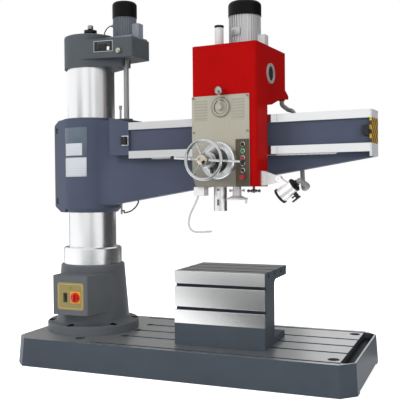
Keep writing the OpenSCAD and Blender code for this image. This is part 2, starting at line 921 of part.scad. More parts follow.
module base_plate() color(c_cast) difference() {
    base_body();
    for (k = [-1:1]) {
        t_slot_x(slot_start, trough_x0 + over, k * slot_pitch, base_height, slot_mouth, slot_neck,
            slot_foot_w, slot_foot_h);
        translate([slot_start, k * slot_pitch, 0])
            post(slot_entry_r, base_height - slot_neck - slot_foot_h, base_height + over);
    }
    along_z(base_height - trough_d, base_height + over) polygon([[trough_x0,
        -channel_y], [trough_x1 - trough_cut, -channel_y], [trough_x1, trough_cut - channel_y], [trough_x1,
            channel_y - trough_cut], [trough_x1 - trough_cut, channel_y], [trough_x0, channel_y]]);
    for (s = [-1, 1]) {
        translate([0, s * channel_y, 0]) block([channel_x0, -channel_w / 2, base_height - channel_d],
            [trough_x0 + over, channel_w / 2, base_height + over]);
        for (x = [foundation_left, foundation_x]) translate([x, s * foundation_y, 0]) {
            post(foundation_r, -over, base_height + over);
            post(foundation_well_r, base_height - foundation_well_d, base_height + over);
        }
    }
    // Hollows under the deck, with a rib left on the column axis both ways
    hollow_x = [base_x0 + base_skin, -base_rib / 2];
    bay = (base_x1 - base_skin - base_rib / 2 + base_rib) / base_bays;
    for (s = [-1, 1]) {
        y0 = s > 0 ? base_rib / 2 : base_skin - base_y;
        y1 = s > 0 ? base_y - base_skin : -base_rib / 2;
        block([hollow_x[0], y0, -over], [hollow_x[1], y1, base_height - base_deck]);
        for (k = [0:base_bays - 1]) block([base_rib / 2 + k * bay, y0, -over],
            [base_rib / 2 + (k + 1) * bay - base_rib, y1, base_height - base_deck]);
    }
    for (x = [base_x0 - base_draft - over, base_x1 + base_draft + over])
        block([min(x, x - sign(x) * foot_notch_w), foot_notch_in - base_y, -over],
            [max(x, x - sign(x) * foot_notch_w), base_y - foot_notch_in, foot_notch_h]);
}

// Pedestal
module ped_bolt_places() for (k = [0:ped_bolts - 1])
    rotate([0, 0, ped_bolt_turn + k * full_turn / ped_bolts]) translate([ped_bolt_circle, 0, 0]) children();
module pedestal() color(c_cast) difference() {
    union() {
        rotate_extrude() polygon([[0, base_height], [flange_r, base_height], [flange_r, flange_z - ped_lip],
            [flange_r - ped_lip, flange_z], [ped_low_r + ped_fillet, flange_z],
            [ped_low_r + ped_fillet / 3, flange_z + ped_fillet / 3], [ped_low_r, flange_z + ped_fillet],
            [ped_high_r, ped_top - ped_lip], [ped_high_r - ped_lip, ped_top], [0, ped_top]]);
        along_z(box_z0, box_z1) {
            soft_rect([box_x0, -box_front], [box_x1, -ped_high_r / 2], box_round);
            polygon([[box_x1, box_round - box_front], [box_side_x, box_side_y], [0, box_side_y]]);
        }
    }
    post(inner_r, base_height - over, ped_top + over);
    rotate_extrude() polygon([[inner_r + ped_socket_wall, base_height - over],
        [ped_high_r - ped_wall, base_height - over], [ped_high_r - ped_wall, ped_top - ped_roof],
        [inner_r + ped_socket_wall, ped_top - ped_roof]]);
    ped_bolt_places() {
        post(ped_bolt_r, base_height - over, flange_z + over);
        post(ped_bolt_well, ped_seat_z, flange_z + ped_well_h);
    }
    translate([knob_x, 0, knob_z]) bar_y(knob_stem_r, -box_front - over, -box_front + knob_h);
}
module inner_column() color(c_steel) difference() {
    post(inner_r, base_height, inner_z1);
    post(inner_bore_r, base_height - over, inner_z1 + over);
}
module table_bolt_places() for (x = [table_left + table_bolt_in, table_x1 - table_bolt_in])
    translate([x, 0, 0]) children();
module base_bolts() color(c_steel) {
    ped_bolt_places() {
        translate([0, 0, ped_seat_z]) cylinder(r = ped_bolt_head_r, h = ped_bolt_head_h, $fn = 6);
        post(ped_bolt_r, base_height, ped_seat_z);
    }
    table_bolt_places() {
        post(table_bolt_r, base_height - slot_neck, base_height + table_foot_t + table_nut_h + over);
        translate([0, 0, base_height + table_foot_t]) cylinder(r = table_nut_r, h = table_nut_h, $fn = 6);
        block([-table_nut_r, table_head_in - slot_foot_w / 2,
            base_height - slot_neck - slot_foot_h + table_head_in],
            [table_nut_r, slot_foot_w / 2 - table_head_in, base_height - slot_neck]);
    }
}
module isolator_knob() color(c_red) translate([knob_x, 0, knob_z]) {
    bar_y(knob_stem_r - run_fit, -box_front, -box_front + knob_h - over);
    bar_y(knob_r, -box_front - knob_h, -box_front - free_gap);
    block([-knob_grip_w / 2, -box_front - knob_h - knob_grip_h, -knob_r],
        [knob_grip_w / 2, over - box_front - knob_h, knob_r]);
    bar_y(knob_stem_r - run_fit, -box_front - over, -box_front);
}

// Work table
module table_profile() {
    translate([table_y0, table_z0]) square([table_web, table_height]);
    translate([table_y0, table_z1 - table_top_t]) square([table_depth, table_top_t]);
    translate([table_y0, table_z0]) square([table_foot_y - table_y0, table_foot_t]);
    translate([table_y0 + table_web, table_z1 - table_top_t - table_fillet]) difference() {
        square(table_fillet);
        translate([table_fillet, 0]) circle(table_fillet);
    }
}
module work_table() color(c_steel) difference() {
    along_x(table_left, table_x1) table_profile();
    block([table_left + table_wall, table_y0 + table_wall, table_z0 - over],
        [table_x1 - table_wall, table_y0 + table_web - table_wall, table_z1 - table_top_t - table_wall]);
    for (k = [0:table_slots - 1])
        t_slot_x(table_left - over, table_x1 + over, table_y0 + table_slot_edge + k * table_slot_step,
            table_z1, table_slot, table_slot_neck, table_slot_foot_w, table_slot_foot_h);
    for (k = [0:table_front_slots - 1]) {
        z = table_z1 - table_front_top - k * table_front_step;
        block([table_left - over, table_y0 - over, z - table_slot / 2],
            [table_x1 + over, table_y0 + table_slot_neck + table_slot_foot_h, z + table_slot / 2]);
        block([table_left - over, table_y0 + table_slot_neck, z - table_slot_foot_w / 2],
            [table_x1 + over, table_y0 + table_slot_neck + table_slot_foot_h, z + table_slot_foot_w / 2]);
    }
    table_bolt_places() post(table_bolt_hole_r, table_z0 - over, table_z0 + table_foot_t + over);
}

// Column
module outer_column() color(c_steel) difference() {
    post(col_r, col_z0, col_z1);
    post(col_bore_r, col_z0 - over, col_z1 + over);
}
module column_ring() color(c_steel) rotate_extrude() polygon([[col_r, col_z0], [ring_r, col_z0],
    [ring_r, col_z0 + ring_h - ring_chamfer], [ring_r - ring_chamfer, col_z0 + ring_h], [col_r,
        col_z0 + ring_h]]);
module column_bearings() color(c_steel)
    for (z = [col_z0 + bearing_inset, inner_z1 - bearing_h - bearing_inset]) difference() {
        post(col_bore_r, z, z + bearing_h);
        post(inner_r + run_fit, z - over, z + bearing_h + over);
    }
// Straight sides from a circle out to a flat nose at x, half_w to each side
module tangent_nose(r, x, half_w) {
    lean = atan2(half_w, x) + acos(r / norm([x, half_w]));
    polygon([polar(r, lean), polar(r, -lean), [x, -half_w], [x, half_w]]);
}
module column_cap() color(c_dark) difference() {
    union() {
        rotate_extrude() polygon([[0, cap_z], [cap_r, cap_z], [cap_r, cap_top - cap_round],
            [cap_r - cap_round / 3, cap_top - cap_round / 3], [cap_r - cap_round, cap_top], [0, cap_top]]);
        along_z(cap_floor_z, cap_box_top) {
            tangent_nose(cap_r, cap_reach - cap_round, cap_box_y);
            soft_rect([screw_x, -cap_box_y], [cap_reach, cap_box_y], cap_round);
        }
        along_z(cap_z, cap_floor_z + over) tangent_nose(cap_r, screw_x, cap_neck_y);
    }
    post(col_r, cap_z - over, col_z1);
    post(col_bore_r, cap_z - over, cap_top - cap_roof);
    post(cap_hole_r, cap_z, cap_top + over);
    block([gear_room_x0, cap_wall - cap_box_y, gear_room_z],
        [cap_reach - cap_wall, cap_box_y - cap_wall, cap_box_top + over]);
    translate([screw_x, 0, 0]) {
        post(screw_hole_r, cap_z, gear_room_z + over);
        post(screw_bearing_r, screw_bearing_z, gear_room_z + over);
    }
    translate([rod_x_at, 0, 0]) post(rod_head_r + trip_room, cap_z - over, cap_floor_z);
    translate([lift_motor_x, lift_motor_y, 0])
        post(lift_motor_d / 2 + cowl_over, cap_box_top, cap_top + over);
}
module slip_ring_cover() color(c_black) rotate_extrude() {
    z = cap_top + cover_h;
    polygon([[0, cap_top], [cover_body_r, cap_top], [cover_body_r, z - cover_flange_t], [cover_r,
        z - cover_flange_t],
        [cover_r, z], [cover_neck_r, z], [cover_neck_r, z + cover_neck_h], [cover_knob_r,
            z + 2 * cover_neck_h],
        [cover_knob_r, z + cover_knob_h - cover_neck_h], [cover_knob_r - cover_neck_h, z + cover_knob_h],
        [0, z + cover_knob_h]]);
}

// Motors
module finned(core, fin, z0, z1) along_z(z0, z1) {
    circle(core);
    for (k = [0:motor_fins - 1]) rotate(k * full_turn / motor_fins)
        translate([0, -fin_t / 2]) square([core + fin, fin_t]);
}
module cowl(r, z0, h) translate([0, 0, z0]) difference() {
    rotate_extrude() intersection() {
        union() {
            square([r, h - cowl_round]);
            square([r - cowl_round, h]);
            translate([r - cowl_round, h - cowl_round]) circle(cowl_round);
        }
        square([r, h]);
    }
    post(r - cowl_shell, -over, h - cowl_round);
}
module lift_motor() color(c_dark) difference() {
    union() {
        block([gear_room_x0 - cap_wall, -cap_box_y + cap_round, cap_box_top],
            [cap_reach - cap_round, cap_box_y - cap_round, lift_body_z]);
        translate([lift_motor_x, lift_motor_y, 0]) {
            finned(lift_core_r, fin_h, lift_body_z, lift_body_top);
            block([lift_core_r - over, -lift_box_y / 2, lift_body_z + lift_box_lift],
                [lift_core_r + lift_box_x, lift_box_y / 2, lift_body_z + lift_box_lift + lift_box_z]);
        }
    }
    translate([lift_motor_x, lift_motor_y, 0]) post(lift_shaft_r + run_fit, cap_box_top - over,
        lift_body_z + lift_shaft_in);
}
module lift_motor_cowl() color(c_black) translate([lift_motor_x, lift_motor_y, 0])
    cowl(lift_motor_d / 2 + cowl_over, lift_body_top, lift_cowl_h);
module screw_bearing() color(c_steel) translate([screw_x, 0, 0]) difference() {
    post(screw_bearing_r, screw_bearing_z, screw_bearing_z + screw_bearing_h);
    post(screw_r + run_fit, screw_bearing_z - over, screw_bearing_z + screw_bearing_h + over);
}
module lift_screw() color(c_steel) translate([screw_x, 0, 0]) {
    post(screw_r, screw_z0, screw_collar_z);
    post(screw_collar_r, screw_collar_z, lift_gear_z0);
    post(screw_seat_r, lift_gear_z0, screw_top);
}
module lift_gear() color(c_bronze) translate([screw_x, 0, 0]) difference() {
    gear(lift_mod, lift_gear_z, lift_gear_z0, lift_gear_z0 + lift_gear_t);
    post(screw_seat_r, lift_gear_z0 - over, screw_top);
}
module lift_pinion() color(c_steel) translate([lift_motor_x, lift_motor_y, 0]) {
    rotate(mesh_turn(lift_gear_z, 0, lift_pinion_z, lift_turn)) gear(lift_mod, lift_pinion_z,
        lift_gear_z0 - lift_face_extra, lift_gear_z0 + lift_gear_t + lift_face_extra);
    post(lift_shaft_r, lift_gear_z0, lift_body_z + lift_shaft_in - over);
}

// Arm
module arm_casting() color(c_arm) difference() {
    union() {
        rotate_extrude() polygon([[0, arm_z0], [sleeve_r - sleeve_cut, arm_z0],
            [sleeve_r, arm_z0 + sleeve_cut_h], [sleeve_r, arm_z1 - sleeve_edge],
            [sleeve_r - sleeve_edge, arm_z1], [0, arm_z1]]);
        web_root();
        clamp_ear();
        along_z(beam_z0, beam_z1) polygon([[0, web_front],
            [block_x0, web_front], [block_x0, beam_front], [arm_reach, beam_front], [arm_reach,
                beam_back_tip], [beam_root_x, beam_back_root], [0, beam_back_root]]);
        along_y(web_front, web_back) polygon([[0, web_root_z], [arm_reach, web_tip_z], [arm_reach,
            beam_z0 + over], [0, beam_z0 + over]]);
        along_y(-way_front, beam_front + over) polygon([[block_x0, beam_z0], [way_x0, beam_z0],
            [way_x0, way_up + way_h + block_lip], [block_x0, block_top]]);
        block([block_x0, beam_front, beam_z0], [nut_house_x1, nut_house_back, nut_house_top]);
        block([nut_house_x0, web_front, beam_z0], [block_x0 + over, nut_house_back, nut_house_top]);
    }
    post(col_r + run_fit, arm_z0 - over, arm_z1 + over);
    block([-sleeve_r - ear_out - over, -ear_split / 2, arm_z0 - over], [-col_r + over, ear_split / 2,
        arm_z1 + over]);
    clamp_places() {
        bar_y(clamp_bolt_r + run_fit, -ear_y - over, ear_y + over);
        bar_y(clamp_seat_r, -sleeve_r, -ear_y);
        bar_y(clamp_seat_r, ear_y, sleeve_r);
    }
    translate([screw_x, 0, 0]) {
        post(screw_hole_r, arm_z0 - over, arm_cut_top);
        post(nut_r, nut_z0, arm_cut_top);
        post(nut_flange_r + free_gap, nut_house_top, arm_cut_top);
    }
    translate([rod_x_at, 0, 0]) post(rod_r, arm_z0 - over, arm_cut_top);
    along_z(beam_z0 + beam_wall, beam_z1 - beam_wall) polygon([[beam_hollow_x0,
        beam_front + beam_wall], [arm_reach + over, beam_front + beam_wall],
            [arm_reach + over, beam_back_tip - beam_wall], [beam_hollow_x0,
                beam_back_root - beam_wall * 2]]);
}
// Hollow curve between the sleeve and the front of the web
module web_root() along_z(root_z, nut_house_top) difference() {
    polygon([[0, 0], [root_x, root_y], [root_x, web_front]]);
    translate([root_x, root_y]) circle(root_round);
}
// Split clamp on the sleeve's far side from the arm, with sloping shoulders
module clamp_ear() intersection() {
    along_z(arm_z0, arm_z1) rotate(2 * right_angle) tangent_nose(sleeve_r, sleeve_r + ear_out, ear_y);
    x = -sleeve_r - ear_out;
    z0 = arm_z0 + ear_inset_low;
    z1 = arm_z1 - ear_inset_top;
    along_y(-sleeve_r, sleeve_r) polygon([[x, z0 + ear_corner], [x + ear_corner, z0],
        [sleeve_cut - sleeve_r, arm_z0], [0, arm_z0], [0, arm_z1 - sleeve_edge],
        [-sleeve_r, arm_z1 - sleeve_edge], [x + ear_corner, z1], [x, z1 - ear_corner]]);
}
module clamp_places() for (z = [arm_z0 + ear_inset_low + clamp_bolt_in,
    arm_z1 - ear_inset_top - clamp_bolt_in])
    translate([-sleeve_r - ear_out + clamp_bolt_out, 0, z]) children();
module clamp_bolts() color(c_steel) clamp_places() {
    bar_y(clamp_bolt_r, -ear_y - over, ear_y + over);
    for (s = [-1, 1]) translate([0, s * ear_y, 0]) rotate([-s * right_angle, 0, 0])
        cylinder(r = clamp_head_r, h = clamp_head_h, $fn = 6);
}
module arm_ways() color(c_steel) for (z = [way_low, way_up])
    block([way_x0, -way_front, z], [arm_reach, beam_front, z + way_h]);
module traverse_rack() color(c_steel) translate([feed_x, 0, rack_line_z]) along_y(rack_front,
    rack_front + rack_w)
    mirror([0, 1]) polygon(rack_outline(rack_mod, -rack_reach_left, rack_reach_right,
        rack_body + rack_mod));
module lift_nut() color(c_bronze) translate([screw_x, 0, 0]) difference() {
    union() {
        post(nut_r, nut_z0, nut_house_top);
        post(nut_flange_r, nut_house_top, nut_house_top + nut_flange_t);
    }
    post(screw_r + nut_fit, nut_z0 - over, nut_house_top + nut_flange_t + over);
}
module arm_end_plate() color(c_grey) block([arm_reach, -way_front, web_tip_z],
    [arm_reach + end_plate_t, beam_back_tip, way_up + way_h]);
module arm_stops() color(c_black) {
    block([arm_reach - bumper_w, beam_front - bumper_d, way_low + way_pitch / 2 - bumper_h / 2 + way_h / 2],
        [arm_reach, beam_front, way_low + way_pitch / 2 + bumper_h / 2 + way_h / 2]);
    block([limit_x0, -way_front - limit_d, limit_z], [limit_x0 + limit_w, -way_front, limit_z + limit_h]);
}
module trip_rod() color(c_steel) translate([rod_x_at, 0, 0]) {
    post(rod_r, rod_low, rod_top - rod_head_h);
    post(rod_head_r, rod_top - rod_head_h, rod_top);
}
module clamp_hose() color(c_black) tube(concat([for (p = hose_fall) hose_top + p],
    [for (p = hose_run) hose_end + p]), hose_r, hose_sides, [0, 1, 0]);

// Drill head
module head_plan(back) {
    translate([head_x0, head_y0 + head_round]) square([head_w, back - head_y0 - head_round]);
    translate([head_x0 + head_round, head_y0]) square([head_w - 2 * head_round, head_round * 2]);
    for (x = [head_x0 + head_round, head_x1 - head_round]) translate([x,
        head_y0 + head_round]) circle(head_round);
}
arch_steps = 8;
hang_reach = head_back + hang_lip + way_front - hang_pad;
function arch_at(s) = [hang_pad - way_front + hang_reach * s, hang_z + hang_rise * sin(s * right_angle)];
module hang_profile() polygon(concat([[head_rear - over, head_top], [head_rear - over, hang_z]],
    [for (k = [0:arch_steps]) arch_at(k / arch_steps)],
    [[head_back + hang_lip, hang_z + hang_rise + hang_lip_z * hang_lip_share], [head_back,
        hang_z + hang_rise + hang_lip_z], [head_back, head_top]]));
// Corner cut from the head's foot, grown by e
module foot_corner(e) polygon([[head_x0 - over, head_z0 - over], [head_x0 + corner_w + e, head_z0 - over],
    [head_x0 - over, head_z0 + (corner_w + e) * corner_h / corner_w]]);
module head_casing() color(c_red) difference() {
    union() {
        along_z(head_z0, head_top) head_plan(head_rear);
        block([head_x0 + saddle_in, head_rear - over, saddle_z0], [head_x1 - saddle_in, saddle_back,
            hang_z + over]);
        along_x(head_x0, head_x1) hang_profile();
        translate([fine_x, fine_y, 0]) post(fine_boss_r, head_z0 - fine_boss_h, head_z0 + over);
        translate(gland_at) post(conduit_r + gland_wall, 0, gland_h + over);
    }
    difference() {
        union() {
            block([head_x0 + head_wall, head_y0 + head_wall, head_z0 + bottom_t],
                [head_x1 - head_wall, head_rear - head_wall, head_top + over]);
            block([head_x0 + head_wall, head_rear - head_wall - over, floor_z + floor_t],
                [head_x1 - head_wall, head_back - head_wall, head_top + over]);
        }
        block([head_x0, head_y0, floor_z], [head_x1, head_rear, floor_z + floor_t]);
        along_y(head_y0, head_rear) foot_corner(head_wall);
        translate([sp_x, sp_y, 0]) {
            post(quill_r + boss_wall, head_z0, head_z0 + boss_low_h);
            post(quill_r + boss_wall, boss_up_z, boss_up_z + boss_up_h);
            block([-quill_r - boss_wall, 0, boss_up_z], [quill_r + boss_wall, head_rear - sp_y,
                boss_up_z + boss_up_h]);
        }
    }
    along_y(head_y0 - over, head_rear + over) foot_corner(0);
    block([head_x0 + window_in, head_y0 - over, head_z0 + bottom_t + window_low],
        [head_x0 + panel_in + panel_w - window_in, head_y0 + head_wall + over,
            head_z0 + panel_h - window_top]);
    translate([sp_x, sp_y, 0]) {
        post(quill_r + run_fit, head_z0 - over, boss_up_z + boss_up_h + over);
        post(quill_r + quill_relief, boss_up_z + boss_up_h, floor_z - quill_relief);
        post(drive_seat_r + run_fit, floor_z - over, floor_z + floor_t + over);
    }
    translate([lay_x, lay_y, 0]) post(lay_shaft_r + run_fit, floor_z - over, floor_z + floor_t + over);
    translate([feed_x, 0, feed_z]) bar_y(wheel_shaft_r + run_fit, head_rear - head_wall - over,
        saddle_back + over);
    translate([fine_x, fine_y, 0])
        post(fine_shaft_r + run_fit, head_z0 - fine_boss_h - over, head_z0 + bottom_t + over);
    translate([shift_x, fine_y, 0]) post(shift_stem_r + run_fit, head_z0 - over, head_z0 + bottom_t + over);
}
module head_cover() color(c_red) difference() {
    along_z(head_top, head_top + head_cover_t) head_plan(head_back);
    translate([sp_x, sp_y, 0]) post(guard_r - guard_wall, head_top - over, head_z1 + over);
    translate([motor_x, motor_y, 0]) post(pilot_r, head_top - over, head_z1 + over);
}
module front_panel() color(c_panel) difference() {
    along_y(panel_face, head_y0) polygon([[head_x0 + panel_in + panel_cut, head_z0],
        [head_x0 + panel_in + panel_w, head_z0],
        [head_x0 + panel_in + panel_w, head_z0 + panel_h], [head_x0 + panel_in, head_z0 + panel_h],
        [head_x0 + panel_in, head_z0 + panel_cut_up]]);
    translate([feed_x, 0, feed_z]) bar_y(feed_shaft_r + run_fit, panel_face - over, head_y0 + over);
    translate([dial_x, 0, dial_z]) bar_y(speed_stem_r + run_fit, panel_face - over, head_y0 + over);
    for (k = [0:5]) button_hole(k, panel_face - over, head_y0 + over, button_gap);
}
module way_keepers() color(c_steel) {
    x0 = head_x0 + keeper_in;
    x1 = head_x1 - keeper_in;
    block([x0, beam_front + keeper_clear, beam_z1 + keeper_clear], [x1,
        beam_front + keeper_clear + keeper_t, hang_z]);
    along_x(x0, x1) polygon([[saddle_back, way_low - keeper_clear - keeper_low_h],
        [beam_front + keeper_clear + keeper_t, way_low - keeper_clear - keeper_low_h],
        [beam_front + keeper_clear + keeper_t, beam_z0 - keeper_clear],
        [beam_front + keeper_clear, beam_z0 - keeper_clear],
        [beam_front + keeper_clear, way_low - keeper_clear], [saddle_back, way_low - keeper_clear]]);
    for (z = [way_low, way_up]) {
        block([head_x1 - saddle_in, -way_front - slide_gap - wiper_t, z],
            [head_x1 - saddle_in + wiper_len, -way_front - slide_gap, z + way_h]);
        block([head_x0 + saddle_in - wiper_len, -way_front - slide_gap - wiper_t, z],
            [head_x0 + saddle_in, -way_front - slide_gap, z + way_h]);
    }
}
module main_motor() color(c_steel) translate([motor_x, motor_y, 0]) difference() {
    union() {
        post(main_flange_r, head_z1, main_body_z);
        finned(main_core_r, fin_h, main_body_z, main_body_top);
        block([main_core_r - over, -main_box_y / 2, main_body_z],
            [main_core_r + main_box_x, main_box_y / 2, main_body_z + main_box_z]);
    }
    post(motor_shaft_r + run_fit, head_z1 - over, head_z1 + motor_shaft_in);
}
module main_motor_cowl() color(c_black) translate([motor_x, motor_y, 0])
    cowl(main_motor_d / 2 + cowl_over, main_body_top, main_cowl_h);
module spindle_guard() translate([sp_x, sp_y, 0]) {
    color(c_white) difference() {
        post(guard_r, head_z1, head_z1 + guard_h);
        post(guard_r - guard_wall, head_z1 - over, head_z1 + guard_h + over);
    }
    color(c_black) post(guard_cap_r, head_z1 + guard_h, head_z1 + guard_h + guard_cap_h);
}
module sight_glass() color(c_grey) translate([0, sight_y, sight_z]) {
    difference() {
        bar_x(sight_r, head_x1, head_x1 + sight_t);
        bar_x(sight_glass_r, head_x1 - over, head_x1 + sight_t + over);
    }
    bar_x(sight_glass_r, head_x1, head_x1 + sight_glass_t);
}

// Push buttons
function button_z(k) = button_low + button_span * button_shares[k];
function cap_radius(k) = k == 0 ? stop_r : button_r;
module button_hole(k, y0, y1, extra) translate([button_x, 0, button_z(k)]) bar_y(button_r + extra, y0, y1);
module button_plate() color(c_olive) {
    difference() {
        along_y(plate_face, panel_face) soft_rect([plate_x0, plate_z0], [plate_x1, plate_z1], bezel_wall);
        for (k = [0:5]) button_hole(k, plate_face - over, panel_face + over, button_gap);
    }
    for (k = [0:5]) difference() {
        button_hole(k, plate_face - bezel_h, plate_face, button_gap + bezel_wall);
        button_hole(k, plate_face - bezel_h - over, plate_face + over, button_gap);
    }
}
module push_button(k) button_hole(k, plate_face - bezel_h - button_out, head_y0, 0);
module button_1() color(c_black) push_button(5);
module button_2() color(c_green) push_button(4);
module button_3() color(c_red) push_button(3);
module button_4() color(c_black) push_button(2);
module button_5() color(c_black) push_button(1);
module stop_button() color(c_red) {
    push_button(0);
    translate([button_x, 0, button_z(0)])
        bar_y(stop_r, plate_face - bezel_h - stop_out - stop_head_h,
            plate_face - bezel_h - button_out + lap);
}

// Coolant
module coolant_block() color(c_white) block([coolant_x0, coolant_y0, head_z0 - coolant_h],
    [coolant_x0 + coolant_w, coolant_y1, head_z0]);
module coolant_pipe() color(c_grey) tube(
    [for (p = pipe_shares) pipe_top + pipe_drop * [p[0], 0, p[1]]], coolant_pipe_r, pipe_sides, [0, 1, 0]);

// Lamp
module lamp_bracket() color(c_white) {
    block([head_x1, bracket_y0, head_z0 + bracket_low], [head_x1 + bracket_foot_t, bracket_y1,
        head_z0 + bracket_top]);
    along_y(bracket_mid - bracket_half, bracket_mid + bracket_half) {
        polygon([[head_x1 + bracket_foot_t - lap, head_z0 + bracket_low], [pivot_x, ear_z - ear_r],
            [pivot_x, ear_z + ear_r * bevel_share], [head_x1 + bracket_foot_t - lap,
                head_z0 + bracket_top]]);
        translate([pivot_x, ear_z]) circle(ear_r);
    }
    translate([pivot_x, bracket_mid, ear_z])
        bar_y(ear_pin_r, -bracket_half - strap_gap - strap_t, bracket_half + strap_gap + strap_t);
}
module lamp_place() translate([lamp_back_x, bracket_mid, lamp_back_z]) rotate([0, lamp_aim, 0]) children();
module lamp_shade_shape() {
    mouth = lamp_d / 2;
    rotate_extrude() polygon([[lamp_back_r, 0], [mouth, lamp_len], [mouth - lamp_wall, lamp_len],
        [lamp_back_r - lamp_wall, lamp_wall], [0, lamp_wall], [0, 0]]);
    rotate_extrude() polygon([[0, 0], [lamp_cap_r, 0], [lamp_cap_r, -lamp_cap_h * rise_share],
        [lamp_cap_r * bevel_share, -lamp_cap_h], [0, -lamp_cap_h]]);
    rotate_extrude() polygon([[mouth - lamp_wall, lamp_len - lamp_rim_h], [mouth + lamp_rim_w,
        lamp_len - lamp_rim_h], [mouth + lamp_rim_w, lamp_len], [mouth - lamp_wall, lamp_len]]);
    lens_at = lamp_len - lamp_lens_in - lamp_lens_t;
    post(lamp_back_r - lamp_wall + (mouth - lamp_back_r) * lens_at / lamp_len + lamp_wall / 2, lens_at,
        lens_at + lamp_lens_t);
    post(lamp_gland_r, -lamp_cap_h - lamp_gland_h, -lamp_cap_h);
}
module lamp_head() color(c_white) {
    lamp_place() lamp_shade_shape();
    difference() {
        for (s = [-1, 1]) {
            y = bracket_mid + s * (bracket_half + strap_gap + strap_t / 2);
            along_y(y - strap_t / 2, y + strap_t / 2) {
                translate([pivot_x, ear_z]) circle(ear_r * strap_share);
                polygon([for (p = strap_shares) [pivot_x, ear_z] + strap_w * p]);
            }
        }
        translate([pivot_x, bracket_mid, ear_z]) bar_y(ear_pin_r + run_fit, -bracket_len, bracket_len);
        lamp_place() post(lamp_back_r - lamp_wall, lamp_wall, lamp_len + over);
    }
}
module lamp_conduit() color(c_grey) tube(concat([for (k = [0:2]) lamp_tail + k * conduit_lead * lamp_dir],
    [for (p = conduit_run) [pivot_x, bracket_mid, ear_z] + p], [for (p = conduit_rise) gland_at + p]),
    conduit_r, conduit_sides, [0, 1, 0]);

// Spindle drive
module main_motor_shaft() color(c_steel) translate([motor_x, motor_y, 0]) {
    toward = atan2(motor_y - lay_y, motor_x - lay_x);
    lay_turn = mesh_turn(drive_teeth, 0, lay_small_teeth, atan2(lay_y - sp_y, lay_x - sp_x));
    rotate(mesh_turn(lay_big_teeth, lay_turn, motor_teeth, toward))
        gear(gear_mod, motor_teeth, high_z - face_extra, high_z + drive_t + face_extra);
    post(motor_shaft_r, high_z, head_z1 + motor_shaft_in - over);
}
module layshaft() color(c_steel) translate([lay_x, lay_y, 0]) {
    rotate(mesh_turn(drive_teeth, 0, lay_small_teeth, atan2(lay_y - sp_y, lay_x - sp_x))) {
        gear(gear_mod, lay_small_teeth, drive_z - face_extra, drive_z + drive_t + face_extra);
        gear(gear_mod, lay_big_teeth, high_z, high_z + drive_t);
    }
    post(lay_shaft_r, floor_z, lay_top);
}
module spline_shape(core, tip, w) {
    circle(core);
    for (k = [0:spline_n - 1]) rotate(k * full_turn / spline_n) translate([0, -w / 2]) square([tip, w]);
}
module drive_gear() color(c_steel) translate([sp_x, sp_y, 0]) difference() {
    union() {
        gear(gear_mod, drive_teeth, drive_z, drive_z + drive_t);
        post(drive_hub_r, floor_z + floor_t + free_gap, drive_z + drive_hub_h);
        post(drive_seat_r, floor_z, floor_z + floor_t + free_gap);
    }
    translate([0, 0, floor_z - over]) linear_extrude(drive_hub_h + drive_z)
        spline_shape(spline_r + spline_clear, spline_tip_r + spline_clear, spline_w + 2 * spline_clear);
}
module quill() color(c_steel) translate([sp_x, sp_y, 0]) difference() {
    post(quill_r, quill_z0, quill_z1);
    post(quill_bore_r, quill_z0 - over, quill_z1 + over);
    post(bearing_seat_r, quill_z0 + bearing_seat_in, quill_z0 + bearing_seat_in + bearing_seat_h);
    post(bearing_seat_r, quill_z1 - bearing_seat_in - bearing_seat_h, quill_z1 - bearing_seat_in);
    block([quill_rack_line - quill_rack_back, -quill_rack_w / 2 - rack_side_clear,
        quill_rack_z0 - rack_side_clear],
        [quill_r + over, quill_rack_w / 2 + rack_side_clear, quill_rack_z1 + rack_side_clear]);
}
module quill_rack() color(c_steel) translate([sp_x + quill_rack_line, sp_y, feed_z])
    along_y(-quill_rack_w / 2, quill_rack_w / 2) mirror([1, -1])
    polygon(rack_outline(feed_mod, quill_rack_z0 - feed_z, quill_rack_z1 - feed_z, quill_rack_back));
module spindle_bearings() color(c_steel) translate([sp_x, sp_y, 0])
    for (z = [quill_z0 + bearing_seat_in, quill_z1 - bearing_seat_in - bearing_seat_h]) difference() {
        post(bearing_seat_r, z, z + bearing_seat_h);
        post(shaft_r + run_fit, z - over, z + bearing_seat_h + over);
    }
module spindle() color(c_steel) translate([sp_x, sp_y, 0]) difference() {
    union() {
        post(nose_r, nose_z, quill_z0 - nose_gap);
        post(shaft_r, quill_z0 - nose_gap - lap, quill_z1 + free_gap);
        post(shaft_collar_r, quill_z1 + free_gap, quill_z1 + free_gap + collar_h);
        along_z(quill_z1 + collar_h, spindle_top)
            spline_shape(spline_r, spline_tip_r, spline_w);
    }
    rotate_extrude() polygon([[0, nose_z - over], [taper_mouth_r + over * taper_share, nose_z - over],
        [taper_mouth_r - taper_depth * taper_share, nose_z + taper_depth], [0, nose_z + taper_depth]]);
    rotate([0, 0, drift_turn]) {
        block([-drift_w / 2, -nose_d, drift_z], [drift_w / 2, nose_d, drift_z + drift_h]);
        block([-drift_w / 2, -nose_d, drift_up_z], [drift_w / 2, nose_d, drift_up_z + drift_up_h]);
    }
}

